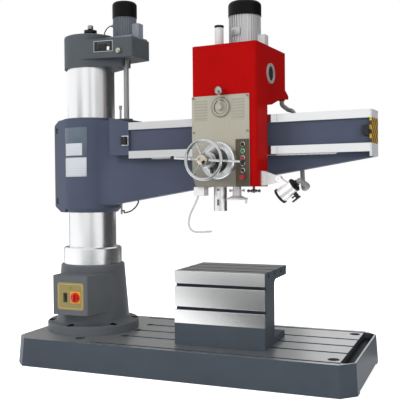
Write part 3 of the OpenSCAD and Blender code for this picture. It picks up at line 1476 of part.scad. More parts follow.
// Feed and traverse
module feed_shaft() color(c_steel) translate([feed_x, 0, feed_z]) difference() {
    union() {
        bar_y(feed_shaft_r, drum_front - over, feed_rear);
        along_y(sp_y - quill_rack_w / 2 + feed_face_in, sp_y + quill_rack_w / 2 - feed_face_in)
            polygon(gear_outline(feed_mod, feed_teeth));
        turned_front(drum_front) polygon([[0, 0], [hub_big_r, 0], [hub_big_r - hub_edge, 2 * hub_edge],
            [hub_small_r + hub_flare, hub_cone / 2], [hub_small_r, hub_cone],
            [hub_small_r, hub_cone + hub_barrel - hub_edge], [hub_small_r - hub_edge,
                hub_cone + hub_barrel], [0, hub_cone + hub_barrel]]);
        for (s = [-1, 1]) translate([0, lever_y, 0]) rotate([0, lever_tilt, 0]) scale([s, 1, 1])
            bar_x(lever_r, lever_root, lever_span / 2);
        translate([0, drum_front - hub_cone * stop_knob_share,
            -stop_knob_off]) rotate([right_angle * 2, 0, 0])
            post(stop_knob_r, -stop_knob_out, stop_knob_out);
    }
    bar_y(feed_bore_r, hub_nose_y - over, feed_rear + over);
}
module feed_dial() color(c_steel) translate([feed_x, 0, feed_z]) difference() {
    turned_front(drum_back) polygon([[0, 0], [drum_d / 2 - drum_edge, 0], [drum_d / 2, drum_edge],
        [drum_d / 2, drum_t - drum_round], [drum_d / 2 - drum_round, drum_t], [0, drum_t]]);
    bar_y(feed_shaft_r, drum_front - over, drum_back + over);
}
module lever_balls() color(c_black) translate([feed_x, lever_y, feed_z]) rotate([0, lever_tilt, 0])
    for (s = [-1, 1]) translate([s * (lever_span / 2 + lever_ball_d / 2 - lap), 0, 0]) difference() {
        sphere(lever_ball_d / 2);
        scale([s, 1, 1]) bar_x(lever_r, -lever_ball_d, lap - lever_ball_d / 2);
    }
module traverse_wheel() color(c_steel) translate([feed_x, 0, feed_z]) {
    bar_y(wheel_shaft_r, hub_nose_y - wheel_gap - wheel_hub_h, wheel_shaft_rear);
    along_y(rack_front, rack_front + rack_w) polygon(gear_outline(rack_mod, wheel_teeth));
    turned_front(hub_nose_y - wheel_gap) polygon(concat([[0, 0], [wheel_hub_r, 0], [wheel_hub_r,
        wheel_hub_h]], [for (p = dome_shares) [wheel_dome_r * p[0], wheel_hub_h + wheel_dome_h * p[1]]]));
    translate([0, wheel_y, 0]) rotate([right_angle, 0, 0]) {
        rotate_extrude() translate([wheel_rim_r, 0]) circle(wheel_bar_r);
        for (k = [0:wheel_spokes - 1]) rotate([0, 0, wheel_spoke_turn + k * full_turn / wheel_spokes])
            bar_x(wheel_spoke_r, wheel_hub_r - over, wheel_rim_r);
    }
}
module fine_feed_wheel() color(c_steel) translate([fine_x, fine_y, 0]) {
    rim = fine_wheel_d / 2 - fine_rim_r;
    low = fine_hub_z1 - fine_hub_h;
    post(fine_shaft_r, fine_hub_z1 - over, head_z0 + bottom_t);
    post(fine_hub_r, low, fine_hub_z1);
    rotate_extrude() polygon([[0, low + lap], [fine_hub_r, low + lap], [rim, low - fine_dish + fine_rim_r],
        [rim, low - fine_dish], [fine_hub_r - over, low - over - lap], [0, low - over - lap]]);
    rotate_extrude() translate([rim, low - fine_dish + fine_rim_r / 2]) circle(fine_rim_r);
    translate([rim, 0, 0]) post(fine_knob_r, low - fine_dish - fine_knob_h, low - fine_dish);
    for (s = [-1, 1]) translate([0, 0, fine_hub_z1 - fine_ball_drop]) {
        scale([s, 1, 1]) bar_x(fine_stud_r, fine_hub_r - over, fine_ball_out);
        translate([s * fine_ball_out, 0, 0]) sphere(fine_ball_r);
    }
}
module shift_lever() color(c_black) translate([shift_x, fine_y, 0]) {
    z = head_z0 - shift_drop;
    post(shift_stem_r, z, head_z0 + shift_in);
    translate([0, 0, z]) {
        sphere(shift_hub_r);
        bar_x(shift_arm_r, -shift_arm, shift_arm);
        bar_y(shift_arm_r, -shift_arm, shift_arm);
        for (s = [-1, 1]) {
            translate([s * shift_arm, 0, 0]) sphere(shift_ball_r);
            translate([0, s * shift_arm, 0]) sphere(shift_ball_r);
        }
    }
}
module speed_lever() color(c_steel) translate([dial_x, 0, dial_z]) {
    bar_y(speed_stem_r, panel_face - dial_t, head_y0 - free_gap);
    turned_front(panel_face - free_gap) polygon([[0, 0], [dial_r, 0], [dial_r, dial_t - dial_edge],
        [dial_r - dial_edge, dial_t], [dial_inner_r, dial_t], [dial_inner_r - dial_edge,
            dial_t - dial_step],
        [speed_hub_r + dial_edge, dial_t - dial_step], [speed_hub_r, speed_hub_h], [0, speed_hub_h]]);
    translate([0, panel_face - speed_out, 0]) {
        post(speed_stem_r, 0, speed_ball_up);
        translate([0, 0, speed_ball_up]) sphere(speed_ball_d / 2);
    }
}

base_plate();
pedestal();
inner_column();
base_bolts();
work_table();
isolator_knob();
swung() outer_column();
swung() column_ring();
swung() column_bearings();
swung() column_cap();
swung() slip_ring_cover();
swung() lift_motor();
swung() lift_motor_cowl();
swung() screw_bearing();
swung() lift_screw();
swung() lift_gear();
swung() lift_pinion();
swung() arm_casting();
swung() arm_ways();
swung() traverse_rack();
swung() lift_nut();
swung() clamp_bolts();
swung() arm_end_plate();
swung() arm_stops();
swung() trip_rod();
swung() clamp_hose();
swung() head_casing();
swung() head_cover();
swung() front_panel();
swung() way_keepers();
swung() main_motor();
swung() main_motor_cowl();
swung() spindle_guard();
swung() sight_glass();
swung() button_plate();
swung() coolant_block();
swung() coolant_pipe();
swung() lamp_bracket();
swung() lamp_conduit();
swung() main_motor_shaft();
swung() layshaft();
swung() drive_gear();
swung() quill();
swung() quill_rack();
swung() spindle_bearings();
swung() spindle();
swung() feed_shaft();
swung() feed_dial();
swung() lever_balls();
swung() traverse_wheel();
swung() fine_feed_wheel();
swung() shift_lever();
swung() speed_lever();
swung() button_1();
swung() button_2();
swung() button_3();
swung() button_4();
swung() button_5();
swung() stop_button();
swung() lamp_head();
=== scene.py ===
import math
from functools import reduce

import bmesh
import bpy
import numpy as np
from mathutils import Matrix, Vector


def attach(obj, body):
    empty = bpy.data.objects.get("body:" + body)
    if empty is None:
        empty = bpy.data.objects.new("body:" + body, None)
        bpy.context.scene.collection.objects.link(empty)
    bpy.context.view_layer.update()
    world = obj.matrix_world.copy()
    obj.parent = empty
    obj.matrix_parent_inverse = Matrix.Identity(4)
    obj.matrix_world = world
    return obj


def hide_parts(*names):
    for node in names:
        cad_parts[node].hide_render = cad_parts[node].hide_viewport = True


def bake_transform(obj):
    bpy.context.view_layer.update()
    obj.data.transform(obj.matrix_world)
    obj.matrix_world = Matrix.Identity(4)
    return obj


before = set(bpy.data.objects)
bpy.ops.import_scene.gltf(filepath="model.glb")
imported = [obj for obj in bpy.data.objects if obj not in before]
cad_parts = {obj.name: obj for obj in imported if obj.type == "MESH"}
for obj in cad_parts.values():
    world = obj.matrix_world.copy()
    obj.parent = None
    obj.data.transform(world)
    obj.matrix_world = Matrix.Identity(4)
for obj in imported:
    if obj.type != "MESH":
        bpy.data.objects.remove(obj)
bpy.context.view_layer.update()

bl_info = {
    "name": "Radial arm drill finishes",
    "version": (1, 0, 0),
    "blender": (4, 5, 0),
    "location": "View3D > Sidebar > Drill",
    "description": "Paint, metal, plates, hoses, small fittings and stage for the radial arm drill",
    "category": "Object",
}

# Pieces are written in millimetres, shaders and the stage in metres
MM = 0.001
FULL_TURN = 2 * math.pi
SWING = math.radians(-5.3)
CAP_LEAN = math.radians(10.23)
UP = (0, 0, 1)
OUT = (0, -1, 0)
FRONT = ((1, 0, 0), UP, OUT)
SHARP = math.radians(35)
LEAST_RADIUS = 0.02
LEAST_CORNER = 0.2

# Places on the machine, in arm millimetres, or in base millimetres for the switch box
SCREW_X = 316
MAIN_MOTOR = (1328, -150)
LIFT_MOTOR = (261.8, 69.3)
FEED_AXIS = (1272, 0, 1409.5)
DIAL_AXIS = (1275, 0, 1741)
SIGHT = (1509, -171, 1963)
LAMP_BACK = np.array([1707, -300, 1253])
LAMP_ANGLE = math.radians(-127)
LAMP_AIM = np.array([math.sin(LAMP_ANGLE), 0, math.cos(LAMP_ANGLE)])
PANEL_FACE = -408
SWITCH_FACE = -362.8

# Bounds between two finishes on one piece, in metres
DECK = (0.1935, 0.2)
# Heights of slot and trough floors that are painted near black: painted shade
DECK_PIT_SHADE = (0.12, 0.1930)
TABLE_TOP = (0.688, 0.70)
TABLE_PIT_SHADE = (0.60, 0.6875)
TABLE_FOOT = 0.340
HEAD_FLOOR = 1.2472
PLUG_FOOT = 2.4285
GUARD_CAP = 2.259
MOTOR_BOX_TOP = 2.22
COWL_TOPS = (2.432, 2.600)
SIGHT_LENS = 0.0455
DIAL_BALL = 0.075
HUB_CONE = -0.5795
WHEEL_SPOKES = -0.668
BANDS = (1.502, 1.654)
SHADE_ENDS = (0.0005, 0.0985)

# Stage, in metres: the camera's place and its yaw, pitch and roll in degrees, the lamps' aim, the floor,
# and the direction in which a graded flag changes
CAMERA = (2.725, -4.604, 1.256)
CAMERA_TURN = (21.88, -1.166, -0.498)
LAMPS_AIM = Vector((0.85, -0.1, 1.1))
FLOOR_Z = -0.0006
FLOOR_REACH = 30
CARD_LEAN = (1, -0.68, 0)


def linear(code):
    """sRGB hex to the linear colour of shaders: c/12.92 up to 0.04045, else ((c+0.055)/1.055)^2.4."""
    c = np.array([int(code[i:i + 2], 16) for i in (1, 3, 5)]) / 255
    return tuple(np.where(c <= 0.04045, c / 12.92, ((c + 0.055) / 1.055) ** 2.4))


def on_arm(points):
    """Arm millimetres (x along the arm, y to the back) turned by the arm's swing, in metres."""
    p = np.asarray(points, float) * MM
    c, s = math.cos(SWING), math.sin(SWING)
    return np.stack([c * p[..., 0] - s * p[..., 1], s * p[..., 0] + c * p[..., 1], p[..., 2]], -1)


def on_base(points):
    """Base millimetres in metres: the base stands square to the frame."""
    return np.asarray(points, float) * MM


def soft_box(w, h, r, steps=5):
    """Outline of a rectangle about its middle with corners of radius r, anticlockwise."""
    a = np.radians(np.linspace(0, 90, steps + 1))
    turn = np.arange(4)[:, None] * math.pi / 2
    signs = np.array([[1, 1], [-1, 1], [-1, -1], [1, -1]])[:, None]
    middles = signs * (np.array([w, h]) / 2 - r)
    return (middles + r * np.stack([np.cos(a + turn), np.sin(a + turn)], -1)).reshape(-1, 2)


def inset(w, h, r, e):
    """That outline drawn in by e."""
    return soft_box(w - 2 * e, h - 2 * e, max(r - e, LEAST_CORNER))


def smooth_path(points, steps=8):
    """Line through all points: each span is a cubic whose end slopes are half the chord of its neighbours."""
    p = np.asarray(points, float)
    q = np.vstack([p[:1], p, p[-1:]])
    t = np.linspace(0, 1, steps, endpoint=False)[None, :, None]
    a, b, c, d = (q[i:len(q) - 3 + i, None] for i in range(4))
    square, cube = 2 * a - 5 * b + 4 * c - d, 3 * b - a - 3 * c + d
    curve = (2 * b + (c - a) * t + square * t ** 2 + cube * t ** 3) / 2
    return np.vstack([curve.reshape(-1, 3), p[-1:]])


def round_steps(steps):
    """Angles round a full turn, shaped to go with rows of stations."""
    return np.linspace(0, FULL_TURN, steps, endpoint=False)[None, :, None]


class Skin:
    """Collects skins in millimetres, each a grid of points closed into a shell, and makes them one mesh."""

    def __init__(self):
        self.points, self.faces, self.slots, self.count = [], [], [], 0

    def loft(self, loops, slot=0, ring=False):
        """Grid P[i, j]: loop i, station j round it. Quads join neighbours; ends close, or join if ring."""
        loops = np.asarray(loops, float)
        rows, cols = loops.shape[:2]
        i, j = np.meshgrid(np.arange(rows if ring else rows - 1), np.arange(cols), indexing="ij")
        n, k = (i + 1) % rows, (j + 1) % cols
        quads = np.stack([i * cols + j, i * cols + k, n * cols + k, n * cols + j], -1).reshape(-1, 4)
        faces = (quads + self.count).tolist()
        if not ring:
            first = np.arange(cols) + self.count
            faces += [first[::-1].tolist(), (first + (rows - 1) * cols).tolist()]
        self.points.append(loops.reshape(-1, 3))
        self.faces += faces
        self.slots += [slot] * len(faces)
        self.count += rows * cols
        return self

    def turned(self, profile, origin, axis, slot=0, steps=28):
        """Surface of revolution: origin + h*axis + r*(cos a*e1 + sin a*e2) for each (r, h) of the profile."""
        n = np.asarray(axis, float) / np.linalg.norm(axis)
        e1 = np.cross(n, UP if abs(n[2]) < 0.9 else (1, 0, 0))
        e1 /= np.linalg.norm(e1)
        a = round_steps(steps)
        r, h = (np.asarray(profile, float)[:, i][:, None, None] for i in (0, 1))
        spoke = np.cos(a) * e1 + np.sin(a) * np.cross(n, e1)
        return self.loft(np.asarray(origin, float) + h * n + np.maximum(r, LEAST_RADIUS) * spoke, slot)

    def swept(self, path, r, side=(0, 1, 0), steps=20):
        """Round tube: circles of radius r across the path, with a side direction carried along it."""
        q = np.asarray(path, float)
        t = np.gradient(q, axis=0)
        t /= np.linalg.norm(t, axis=1)[:, None]
        u = np.zeros_like(q)
        for i, d in enumerate(t):
            side = np.asarray(side, float) - d * np.dot(side, d)
            side = u[i] = side / np.linalg.norm(side)
        a = round_steps(steps)
        return self.loft(q[:, None] + r * (np.cos(a) * u[:, None] + np.sin(a) * np.cross(t, u)[:, None]))

    def stacked(self, middle, face, flats, depths, slot, ring=False):
        """Flat outlines, each at its depth, on a face (its right, up and outward directions)."""
        across, out = np.asarray(face[:2], float), np.asarray(face[2], float)
        loops = [flat @ across + d * out for flat, d in zip(flats, depths)]
        return self.loft(np.asarray(middle, float) + np.asarray(loops), slot, ring)

    def plate(self, middle, w, h, face, thick, r=3.0, edge=0.6, slot=0):
        """Plate w by h with rounded corners, its front edge eased by edge."""
        flats = [inset(w, h, r, e) for e in (0, 0, edge * 0.3, edge)]
        return self.stacked(middle, face, flats, (0, thick - edge, thick - edge * 0.3, thick), slot)

    def holed(self, middle, w, h, face, thick, hole, at=(0, 0), r=3.0, edge=0.6, slot=0, corner=None):
        """Plate with a hole at a point: round of radius hole, or of half sizes hole with rounded corners."""
        out = [inset(w, h, r, e) for e in (0, 0, edge)]
        ray = (out[0] - at) / np.linalg.norm(out[0] - at, axis=1)[:, None]
        inner = (soft_box(2 * hole[0], 2 * hole[1], corner) if corner else ray * hole) + at
        heights = (0, thick - edge, thick, thick, 0)
        return self.stacked(middle, face, (*out, inner, inner), heights, slot, ring=True)

    def make(self, name, body, slot, *finishes, place=on_arm, replaces=None, blend=None):
        """The skins as one object at the origin: doubles merged, normals outward, smooth up to SHARP."""
        mesh = bpy.data.meshes.new(name)
        mesh.from_pydata(place(np.vstack(self.points)), [], self.faces)
        mesh.polygons.foreach_set("material_index", np.asarray(self.slots, np.int32))
        work = bmesh.new()
        work.from_mesh(mesh)
        bmesh.ops.remove_doubles(work, verts=work.verts, dist=1e-6)
        bmesh.ops.recalc_face_normals(work, faces=work.faces)
        work.to_mesh(mesh)
        work.free()
        for finish in finishes:
            mesh.materials.append(finish.owner)
        mesh.shade_smooth()
        mesh.set_sharp_from_angle(angle=SHARP)
        piece = bpy.data.objects.new(name, mesh)
        bpy.context.scene.collection.objects.link(piece)
        if blend:
            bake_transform(piece)
        else:
            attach(piece, body)
        if replaces:
            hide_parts(replaces)
        return piece


class Nodes:
    """Shader nodes of a material or a world, from an empty tree on. A mask is 1 in some places, else 0."""

    def __init__(self, owner):
        owner.use_nodes = True
        self.owner, self.tree = owner, owner.node_tree
        self.tree.nodes.clear()

    def add(self, kind, *inputs, **settings):
        """One node with its settings. Inputs are pairs: a value, hex code, socket or node, and its input."""
        node = self.tree.nodes.new("ShaderNode" + kind)
        for key, value in settings.items():
            setattr(node, key, value)
        for value, name in inputs:
            if isinstance(value, bpy.types.Node):
                value = value.outputs[0]
            if isinstance(value, bpy.types.NodeSocket):
                self.tree.links.new(value, node.inputs[name])
            else:
                node.inputs[name].default_value = shade(value) if isinstance(value, str) else value
        return node

    def calc(self, operation, *values, kind="Math"):
        """Number from one Math or VectorMath node on up to three values or sockets."""
        return self.add(kind, *((v, i) for i, v in enumerate(values)), operation=operation).outputs["Value"]

    def vector(self, operation, *values):
        return self.calc(operation, *values, kind="VectorMath")

    def over(self, value, bound):
        return self.calc("GREATER_THAN", value, bound)

    def under(self, value, bound):
        return self.calc("LESS_THAN", value, bound)

    def every(self, *masks):
        """Mask of the places that all the masks have."""
        return reduce(lambda one, other: self.calc("MULTIPLY", one, other), masks)

    def span(self, value, low, high, to_low=0.0, to_high=1.0):
        """Value carried from low..high to to_low..to_high and held at the ends."""
        return self.add("MapRange", (value, "Value"), (low, "From Min"), (high, "From Max"),
                        (to_low, "To Min"), (to_high, "To Max")).outputs["Result"]

    def mixed(self, factor, one, two):
        """Colour from one to two as factor goes from 0 to 1."""
        return self.add("Mix", (factor, 0), (one, 6), (two, 7), data_type="RGBA").outputs[2]

    def repeat(self, value, pitch):
        """fract(value / pitch)."""
        return self.calc("FRACT", self.calc("MULTIPLY", value, 1 / pitch))


def socket_name(key):
    return key.replace("_", " ").title().replace("Ior", "IOR")


class Finish(Nodes):
    """A named material with its shader, output and object coordinates; constants are set on the shader."""

    def __init__(self, name, **constants):
        super().__init__(bpy.data.materials.new(name))
        self.shader = self.add("BsdfPrincipled", *((v, socket_name(k)) for k, v in constants.items()))
        self.add("OutputMaterial", (self.shader, "Surface"))
        self.coords = self.add("TexCoord").outputs["Object"]

    def plug(self, **sockets):
        """Links sockets to the shader's inputs of those names."""
        for key, socket in sockets.items():
            self.tree.links.new(socket, self.shader.inputs[socket_name(key)])

    def moved(self, middle=(0, 0, 0), turn=0.0):
        """Object coordinates turned back by turn about Z, measured from middle (metres, turned back too)."""
        place = tuple(-float(m) for m in middle)
        return self.add("Mapping", (self.coords, "Vector"), ((0, 0, -turn), "Rotation"), (place, "Location"))

    def parts(self, middle=(0, 0, 0), turn=0.0):
        """X, Y and Z of the moved coordinates."""
        return self.add("SeparateXYZ", (self.moved(middle, turn), "Vector")).outputs

    def polar(self, part, up="Y"):
        """Radius and angle of parts in the plane of X and up."""
        flat = self.add("CombineXYZ", (part["X"], "X"), (part[up], up))
        return self.vector("LENGTH", flat), self.calc("ARCTAN2", part[up], part["X"])

    def ticks(self, radius, angle, count, share, inner, outer):
        """Mask of graduations: fract(count * angle / full turn) < share, at radii from inner to outer."""
        mark = self.under(self.repeat(angle, FULL_TURN / count), share)
        return self.every(mark, self.over(radius, inner), self.under(radius, outer))

    def picked(self, low, high):
        """Mask of the box low..high of object coordinates, in metres; None leaves a side open."""
        axes = list(self.add("SeparateXYZ", (self.coords, "Vector")).outputs)
        sides = zip([self.over] * 3 + [self.under] * 3, axes * 2, (*low, *high))
        return self.every(*(test(axis, bound) for test, axis, bound in sides if bound is not None))

    def layer(self, low=None, high=None):
        """Mask of what is between two heights, in metres."""
        return self.picked((None, None, low), (None, None, high))

    def facing(self, direction):
        """Mask of what faces direction, from the true normal."""
        normal = self.add("NewGeometry").outputs["True Normal"]
        return self.over(self.vector("DOT_PRODUCT", normal, direction), 0.9)

    def grain(self, size, detail=2.0, turn=0.0):
        """Noise whose features are size metres long, one length or (x, y, z), after a turn about Z."""
        scale = tuple(1 / s for s in np.broadcast_to(size, 3))
        mapped = self.add("Mapping", (self.moved(turn=turn), "Vector"), (scale, "Scale"))
        return self.add("TexNoise", (mapped, "Vector"), (1.0, "Scale"), (detail, "Detail"),
                        (0.55, "Roughness")).outputs["Fac"]

    def clouded(self, cloud, paint):
        """Paint a little darker and lighter in clouds."""
        return self.mixed(self.span(cloud, 0.3, 0.7), shade(paint, 0.93), shade(paint, 1.06))

    def relief(self, height, depth, edge):
        """The finish with a bump of depth metres over edges eased by edge metres."""
        eased = self.add("Bevel", (edge, "Radius"), samples=4)
        bump = self.add("Bump", (height, "Height"), (1.0, "Strength"), (depth, "Distance"), (eased, "Normal"))
        self.plug(normal=bump.outputs[0])
        return self


def shade(colour, factor=1.0):
    """Hex code or linear colour times a factor, held at 1, with full alpha."""
    rgb = linear(colour) if isinstance(colour, str) else colour[:3]
    return (*(min(1.0, c * factor) for c in rgb), 1.0)


def enamel(name, colour, rough=0.46, gloss=0.05):
    """Machine enamel on filled cast iron: an even satin coat with faint clouds a hand wide and a soft orange
    peel, about 2 mm in life and drawn 9 mm wide to show."""
    mat = Finish(name, specular_ior_level=gloss)
    cloud = mat.grain(0.22, 3.0)
    mat.plug(base_color=mat.clouded(cloud, colour),
             roughness=mat.span(cloud, 0.3, 0.7, rough - 0.05, rough + 0.05))
    return mat.relief(mat.grain(0.009, 1.0), 0.00025, 0.004)


def ground(name, colour, size, rough=0.2, turn=0.0, metal=1.0, vary=1.0):
    """Ground or turned steel: fine marks run along the longest side of size (metres), some hundredths of a
    millimetre apart in life and drawn millimetres apart to show."""
    mat = Finish(name, metallic=metal)
    marks = mat.grain(size, 3.0, turn)
    tone = mat.calc("ADD", mat.span(marks, 0.25, 0.75, 0.0, 0.7),
                    mat.span(mat.grain(0.3), 0.3, 0.7, 0.0, 0.3))
    mat.plug(base_color=mat.mixed(tone, shade(colour, 1 - 0.07 * vary), shade(colour, 1 + 0.05 * vary)),
             roughness=mat.span(tone, 0.0, 1.0, rough + 0.06 * vary, rough - 0.04 * vary))
    return mat.relief(marks, 0.00004 * vary, 0.002)


def moulded(name, colour, rough=0.35, pit=0.004):
    """Moulded plastic: a spark-eroded texture about half a millimetre wide, drawn at pit metres to show."""
    mat = Finish(name, specular_ior_level=0.35)
    skin = mat.grain(pit)
    mat.plug(base_color=mat.mixed(skin, shade(colour, 0.9), shade(colour, 1.12)),
             roughness=mat.span(skin, 0.3, 0.7, rough - 0.06, rough + 0.06))
    return mat.relief(skin, 0.00008, 0.0015)


def ruled(name, colour, pitch, dark):
    """Bare lacquered sheet ruled with level lines, dark where fract(z / pitch) is small, pitch in metres."""
    mat = Finish(name, roughness=0.5, specular_ior_level=0.15)
    line = mat.under(mat.repeat(mat.parts()["Z"], pitch), 0.2)
    mat.plug(base_color=mat.mixed(line, shade(colour), shade(colour, dark)))
    return mat.relief(line, 0.0001, 0.001)


def machined(name, bare, top, front, paint, size, pit):
    """Cast iron planed where the mask bare(mat) is 1, with marks along the longest side of size, and
    enamelled elsewhere. Floors of slots and troughs, between the two heights of pit, are painted near black
    as painted shade."""
    mat = Finish(name, specular_ior_level=0.05)
    mask, up = bare(mat), mat.facing(UP)
    dull = mat.mixed(up, shade(front, 0.96), shade(top, 0.9))
    bright = mat.mixed(up, shade(front, 1.02), shade(top, 1.08))
    metal = mat.mixed(mat.grain(size, 3.0), dull, bright)
    # Upward floors between the pit heights get painted shade: the paint at 0.12 of its brightness.
    floor = mat.every(mat.layer(*pit), up)
    coat = mat.mixed(floor, mat.clouded(mat.grain(0.25, 3.0), paint), shade(paint, 0.12))
    mat.plug(base_color=mat.mixed(mask, coat, metal), metallic=mat.span(mask, 0, 1, 0.0, 0.93),
             roughness=mat.span(mask, 0, 1, 0.42, mat.span(up, 0, 1, 0.2, 0.3)))
    return mat.relief(mat.span(mask, 0, 1, mat.grain(0.009, 1.0), 0.5), 0.0001, 0.004)


def recoated(mat, pick, code, metal=False):
    """The finish with another colour, or bare metal of it, where the mask pick(mat) is 1."""
    mask = pick(mat)
    coat = mat.shader.inputs["Base Color"].links[0].from_socket
    mat.plug(base_color=mat.mixed(mask, coat, code))
    if metal:
        mat.plug(metallic=mask)
    return mat


def parted(name, pick, codes, other, size, depth, detail=2.0, metal=None, rough=None, **constants):
    """Two finishes on one piece: codes mixed by a grain of that size and depth, and other where the mask
    pick(mat) is 1. metal and rough give the value for each of the two."""
    mat = Finish(name, **constants)
    mask, skin = pick(mat), mat.grain(size, detail)
    mat.plug(base_color=mat.mixed(mask, mat.mixed(skin, codes[0], codes[-1]), other))
    for key, pair in (("metallic", metal), ("roughness", rough)):
        if pair:
            mat.plug(**{key: mat.span(mask, 0, 1, *pair)})
    return mat.relief(skin, depth, 0.002)


def show(finish, *nodes):
    """Gives carried-over CAD nodes a finish in their own material slots."""
    for name in nodes:
        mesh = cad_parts[name].data
        mesh.materials.clear()
        mesh.materials.append(finish.owner)


def colour(prop_name, text, code):
    return bpy.props.FloatVectorProperty(name=prop_name, description=text, subtype="COLOR", size=3,
                                         min=0, max=1, default=linear(code))


def length(prop_name, text, default, low, high):
    return bpy.props.FloatProperty(name=prop_name, description=text, default=default * MM, min=low * MM,
                                   max=high * MM, unit="LENGTH")


class DrillColours(bpy.types.PropertyGroup):
    """Colours of the drill's finishes."""
    slate: colour("Slate enamel", "Paint of the base and the table's foot", "#434a52")
    # Lighter than the base's slate: painted light on the pedestal's shaded sides.
    foot: colour("Pedestal enamel", "Paint of the pedestal", "#5b5e62")
    arm: colour("Arm enamel", "Paint of the arm and its sleeve", "#474d5d")
    red: colour("Head enamel", "Paint of the drill head", "#9b0c0c")
    dark: colour("Cap enamel", "Paint of the column cap", "#4b5054")
    panel: colour("Panel lacquer", "Front panel of the head", "#9c998c")
    olive: colour("Button plate", "Plate under the push buttons", "#4a4234")
    ochre: colour("Switch plate", "Plate of the main switch", "#847748")
    steel: colour("Ground steel", "Column, ways and spindle", "#dedfe0")
    iron: colour("Planed deck", "Deck of the base and top of the table", "#c9cacb")
    face: colour("Planed face", "Front of the table", "#e9eaea")
    motor: colour("Motor enamel", "Paint of the lift motor", "#7a7f87")


class DrillSizes(bpy.types.PropertyGroup):
    """Sizes of the drill's small fittings."""
    plate: length("Plate thickness", "Thickness of the riveted plates", 2.0, 0.5, 5)
    screw: length("Screw head", "Diameter of the small socket screws' heads", 12, 4, 20)
    bezel: length("Bezel width", "Width of the rings round the push buttons", 3.5, 1, 6)
    lens: bpy.props.FloatProperty(name="Camera lens", description="Focal length on a 36 mm sensor",
                                  default=62.97, min=20, max=200, unit="CAMERA")


def level(a, b, z):
    """Corners of a level rectangle between two opposite corners."""
    return [(a[0], a[1], z), (b[0], a[1], z), (b[0], b[1], z), (a[0], b[1], z)]


def upright(a, b, low, high):
    """Corners of an upright rectangle over the line from a to b."""
    return [(*a, low), (*b, low), (*b, high), (*a, high)]


